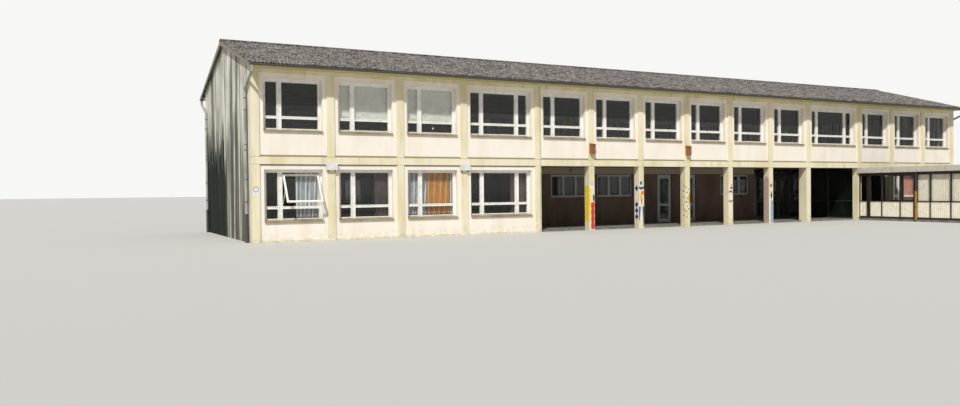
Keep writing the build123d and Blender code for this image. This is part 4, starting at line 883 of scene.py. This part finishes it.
# Spots: across, level and size
SPOTS = [(-0.09, 1.78, 0.022), (0.05, 1.70, 0.016), (-0.04, 1.55, 0.026), (-0.10, 1.36, 0.018),
         (0.00, 1.28, 0.022), (-0.07, 1.12, 0.030), (-0.01, 0.92, 0.018), (0.07, 0.80, 0.022),
         (-0.08, 0.70, 0.026), (0.00, 0.55, 0.016), (-0.06, 0.44, 0.022)]
SPOT_WIDTH, SPOT_HEIGHT = 1.35, 1.7
LEFT_FACE_MIDDLE = 0.16
PATTERNS = {
    "yellow": [left_face(5, wavy_band(LEFT_FACE_MIDDLE, 0.36, 1.90, 0.14, 5)),
               front_face(5, wavy_band(-0.10, 0.60, 1.76, 0.036, 4)),
               front_face(6, oval(-0.07, 1.40, 0.050, 0.22, 4))],
    "ochre": [front_face(7, oval(0.094, 1.28, 0.045, 0.30))],
    "red": [front_face(5, wavy_band(0.040, 0.05, 1.19, 0.092, 4)),
            front_face(6, oval(0.02, 1.22, 0.040, 0.24, 4))],
    "dark_green": [front_face(5, oval(0.09, 1.37, 0.042, 0.16)),
                   front_face(9, oval(0.03, 1.36, 0.070, 0.21, 4))],
    "blue": [front_face(6, oval(-0.02, 1.99, 0.055, 0.085)), front_face(6, chevron(1.70, 0.05, 0.10, 0.135)),
             front_face(6, [(-0.135, 0.34), (-0.105, 0.34), (-0.04, 0.96), (-0.135, 0.96)]),
             front_face(6, [(0.135, 0.10), (0.135, 0.96), (0.05, 0.96), (0.10, 0.10)])]
    + [left_face(6, oval(LEFT_FACE_MIDDLE, z, 0.12, 0.13, 4)) for z in (1.76, 1.05, 0.78, 0.51)],
    "orange": [front_face(6, oval(0.055, 1.55, 0.070, 0.10))],
    "white": [left_face(6, oval(LEFT_FACE_MIDDLE, 1.40, 0.13, 0.20, 4)),
              front_face(6, oval(0.10, 1.22, 0.034, 0.20, 4)), front_face(8, oval(0.05, 1.34, 0.060, 0.12)),
              front_face(9, oval(0.03, 1.65, 0.055, 0.07, 4))],
    "black": [front_face(7, oval(x, z, SPOT_WIDTH * r, SPOT_HEIGHT * r, 8)) for x, z, r in SPOTS]
    + [left_face(7, oval(LEFT_FACE_MIDDLE + x, z + 0.07, SPOT_WIDTH * r, SPOT_HEIGHT * r, 8))
       for x, z, r in SPOTS[::2]]
    + [front_face(8, oval(0.05, 1.74, 0.080, 0.050, 6)), front_face(8, oval(0.05, 1.86, 0.030, 0.05, 4)),
       front_face(8, chevron(1.56, -0.06, 0.055, 0.125)), front_face(8, chevron(1.06, 0.06, 0.055, 0.125))],
    "dark_red": [front_face(9, oval(0.01, 1.84, 0.075, 0.11, 4))],
    "light_blue": [front_face(9, wavy_band(0.055, 0.04, 1.12, 0.062, 4))],
    "pink": [left_face(9, [(0.01, 0.02), (0.31, 0.02), (0.31, 2.15), (0.16, 2.30), (0.01, 2.15)])],
}
for colour, outlines in PATTERNS.items():
    plates(f"column_pattern_{colour}", outlines, PAINT_FILM, PAINTS[colour])

# Blue rings on the round signs of the first and sixth columns
for number, (column, z, radius) in enumerate(((0, 1.85, 0.095), (5, 1.985, 0.075))):
    cosines, sines = circle(24)
    spread = np.stack([cosines, 0 * sines, sines], -1)
    ring = np.array([AXES[column], SIGN_FACE, z]) + radius * spread
    points, faces = carried(at(ring[None]), spread[None], (0, -1, 0), rectangle(-0.014, 0.0, 0.0, SIGN_RING),
                            True)
    outward(piece(f"sign_ring_{number + 1}", points, faces, PAINTS["blue"]))

# Petal stickers on the panes of two upper windows: x, z and radius
STICKERS = [(3.92, 4.62, 0.045), (4.45, 4.57, 0.045), (3.75, 4.53, 0.035), (4.75, 4.50, 0.035),
            (6.42, 4.66, 0.045), (6.62, 4.53, 0.040), (7.02, 4.60, 0.045), (6.9, 4.50, 0.035),
            (7.18, 4.72, 0.035), (5.78, 4.46, 0.035), (5.72, 4.14, 0.035), (6.75, 4.13, 0.05)]
plates("window_stickers", [petals(*spot) for spot in STICKERS], STICKER, PAINTS["white"])

# Floor, light and camera
FLOOR_HALF, FLOOR_LEVEL = 400, -0.003
SKY_LIGHT, SHOWN_SKY = 0.34, 1.0
SUN_LIGHT, SUN_DEGREES, SUN_TOWARDS = 3.3, 2.5, (0.55, 0.72, -0.94)
floor_mesh = bpy.data.meshes.new("studio_floor")
floor_mesh.from_pydata([(x, y, FLOOR_LEVEL) for x, y in rectangle(-FLOOR_HALF, FLOOR_HALF, -FLOOR_HALF,
                                                                  FLOOR_HALF)], [], [(0, 1, 2, 3)])
floor = bpy.data.objects.new("studio_floor", floor_mesh)
bpy.context.scene.collection.objects.link(floor)
floor_finish, floor_tree, _ = new_material("pale_studio_floor")
surfaced(floor_tree, {"Base Color": paint("#C8C7C3"), "Roughness": 0.9})
floor_mesh.materials.append(floor_finish)
floor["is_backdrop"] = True

world = bpy.data.worlds.new("studio")
world.use_nodes = True
bpy.context.scene.world = world
sky = world.node_tree
sky.nodes.clear()
shown = 0.0
for ray in ("Is Camera Ray", "Is Transmission Ray", "Is Glossy Ray"):
    shown = add(sky, "Math", {0: shown, 1: add(sky, "LightPath", out=ray)}, operation="MAXIMUM")
soft = add(sky, "Background", {"Color": paint("#F2F4F7"), "Strength": SKY_LIGHT})
white = add(sky, "Background", {"Color": paint("#F7F7F6"), "Strength": SHOWN_SKY})
add(sky, "OutputWorld", {"Surface": add(sky, "MixShader", {0: shown, 1: soft, 2: white})})

sun = bpy.data.lights.new("soft_key", "SUN")
sun.energy = SUN_LIGHT
sun.angle = math.radians(SUN_DEGREES)
sun.color = (1.0, 0.985, 0.955)
key = bpy.data.objects.new("soft_key", sun)
key.rotation_mode = "QUATERNION"
key.rotation_quaternion = Vector(SUN_TOWARDS).to_track_quat("-Z", "Y")
bpy.context.scene.collection.objects.link(key)

# The photograph's camera: focal length in pixels of a 960 wide frame, place in the frame and angles
FOCAL, WIDTH = 784.14, 960
EYE = (-25.090, -32.221, 1.726)
YAW, PITCH, ROLL = 0.4805, -0.0157, -0.0102
SENSOR_MM, FAR = 36, 2000
ahead = Vector((math.sin(YAW) * math.cos(PITCH), math.cos(YAW) * math.cos(PITCH), math.sin(PITCH)))
level = Vector((math.cos(YAW), -math.sin(YAW), 0))
upright = level.cross(ahead)
right = math.cos(ROLL) * level + math.sin(ROLL) * upright
top = -math.sin(ROLL) * level + math.cos(ROLL) * upright
lens = bpy.data.cameras.new("photo_camera")
lens.sensor_width = SENSOR_MM
lens.lens = SENSOR_MM * FOCAL / WIDTH
lens.clip_end = FAR
camera = bpy.data.objects.new("photo_camera", lens)
camera.matrix_world = Matrix.Translation(EYE) @ Matrix((right, top, -ahead)).transposed().to_4x4()
bpy.context.scene.collection.objects.link(camera)
bpy.context.scene.camera = camera
bpy.context.scene.view_settings.view_transform = "Standard"

low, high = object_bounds()
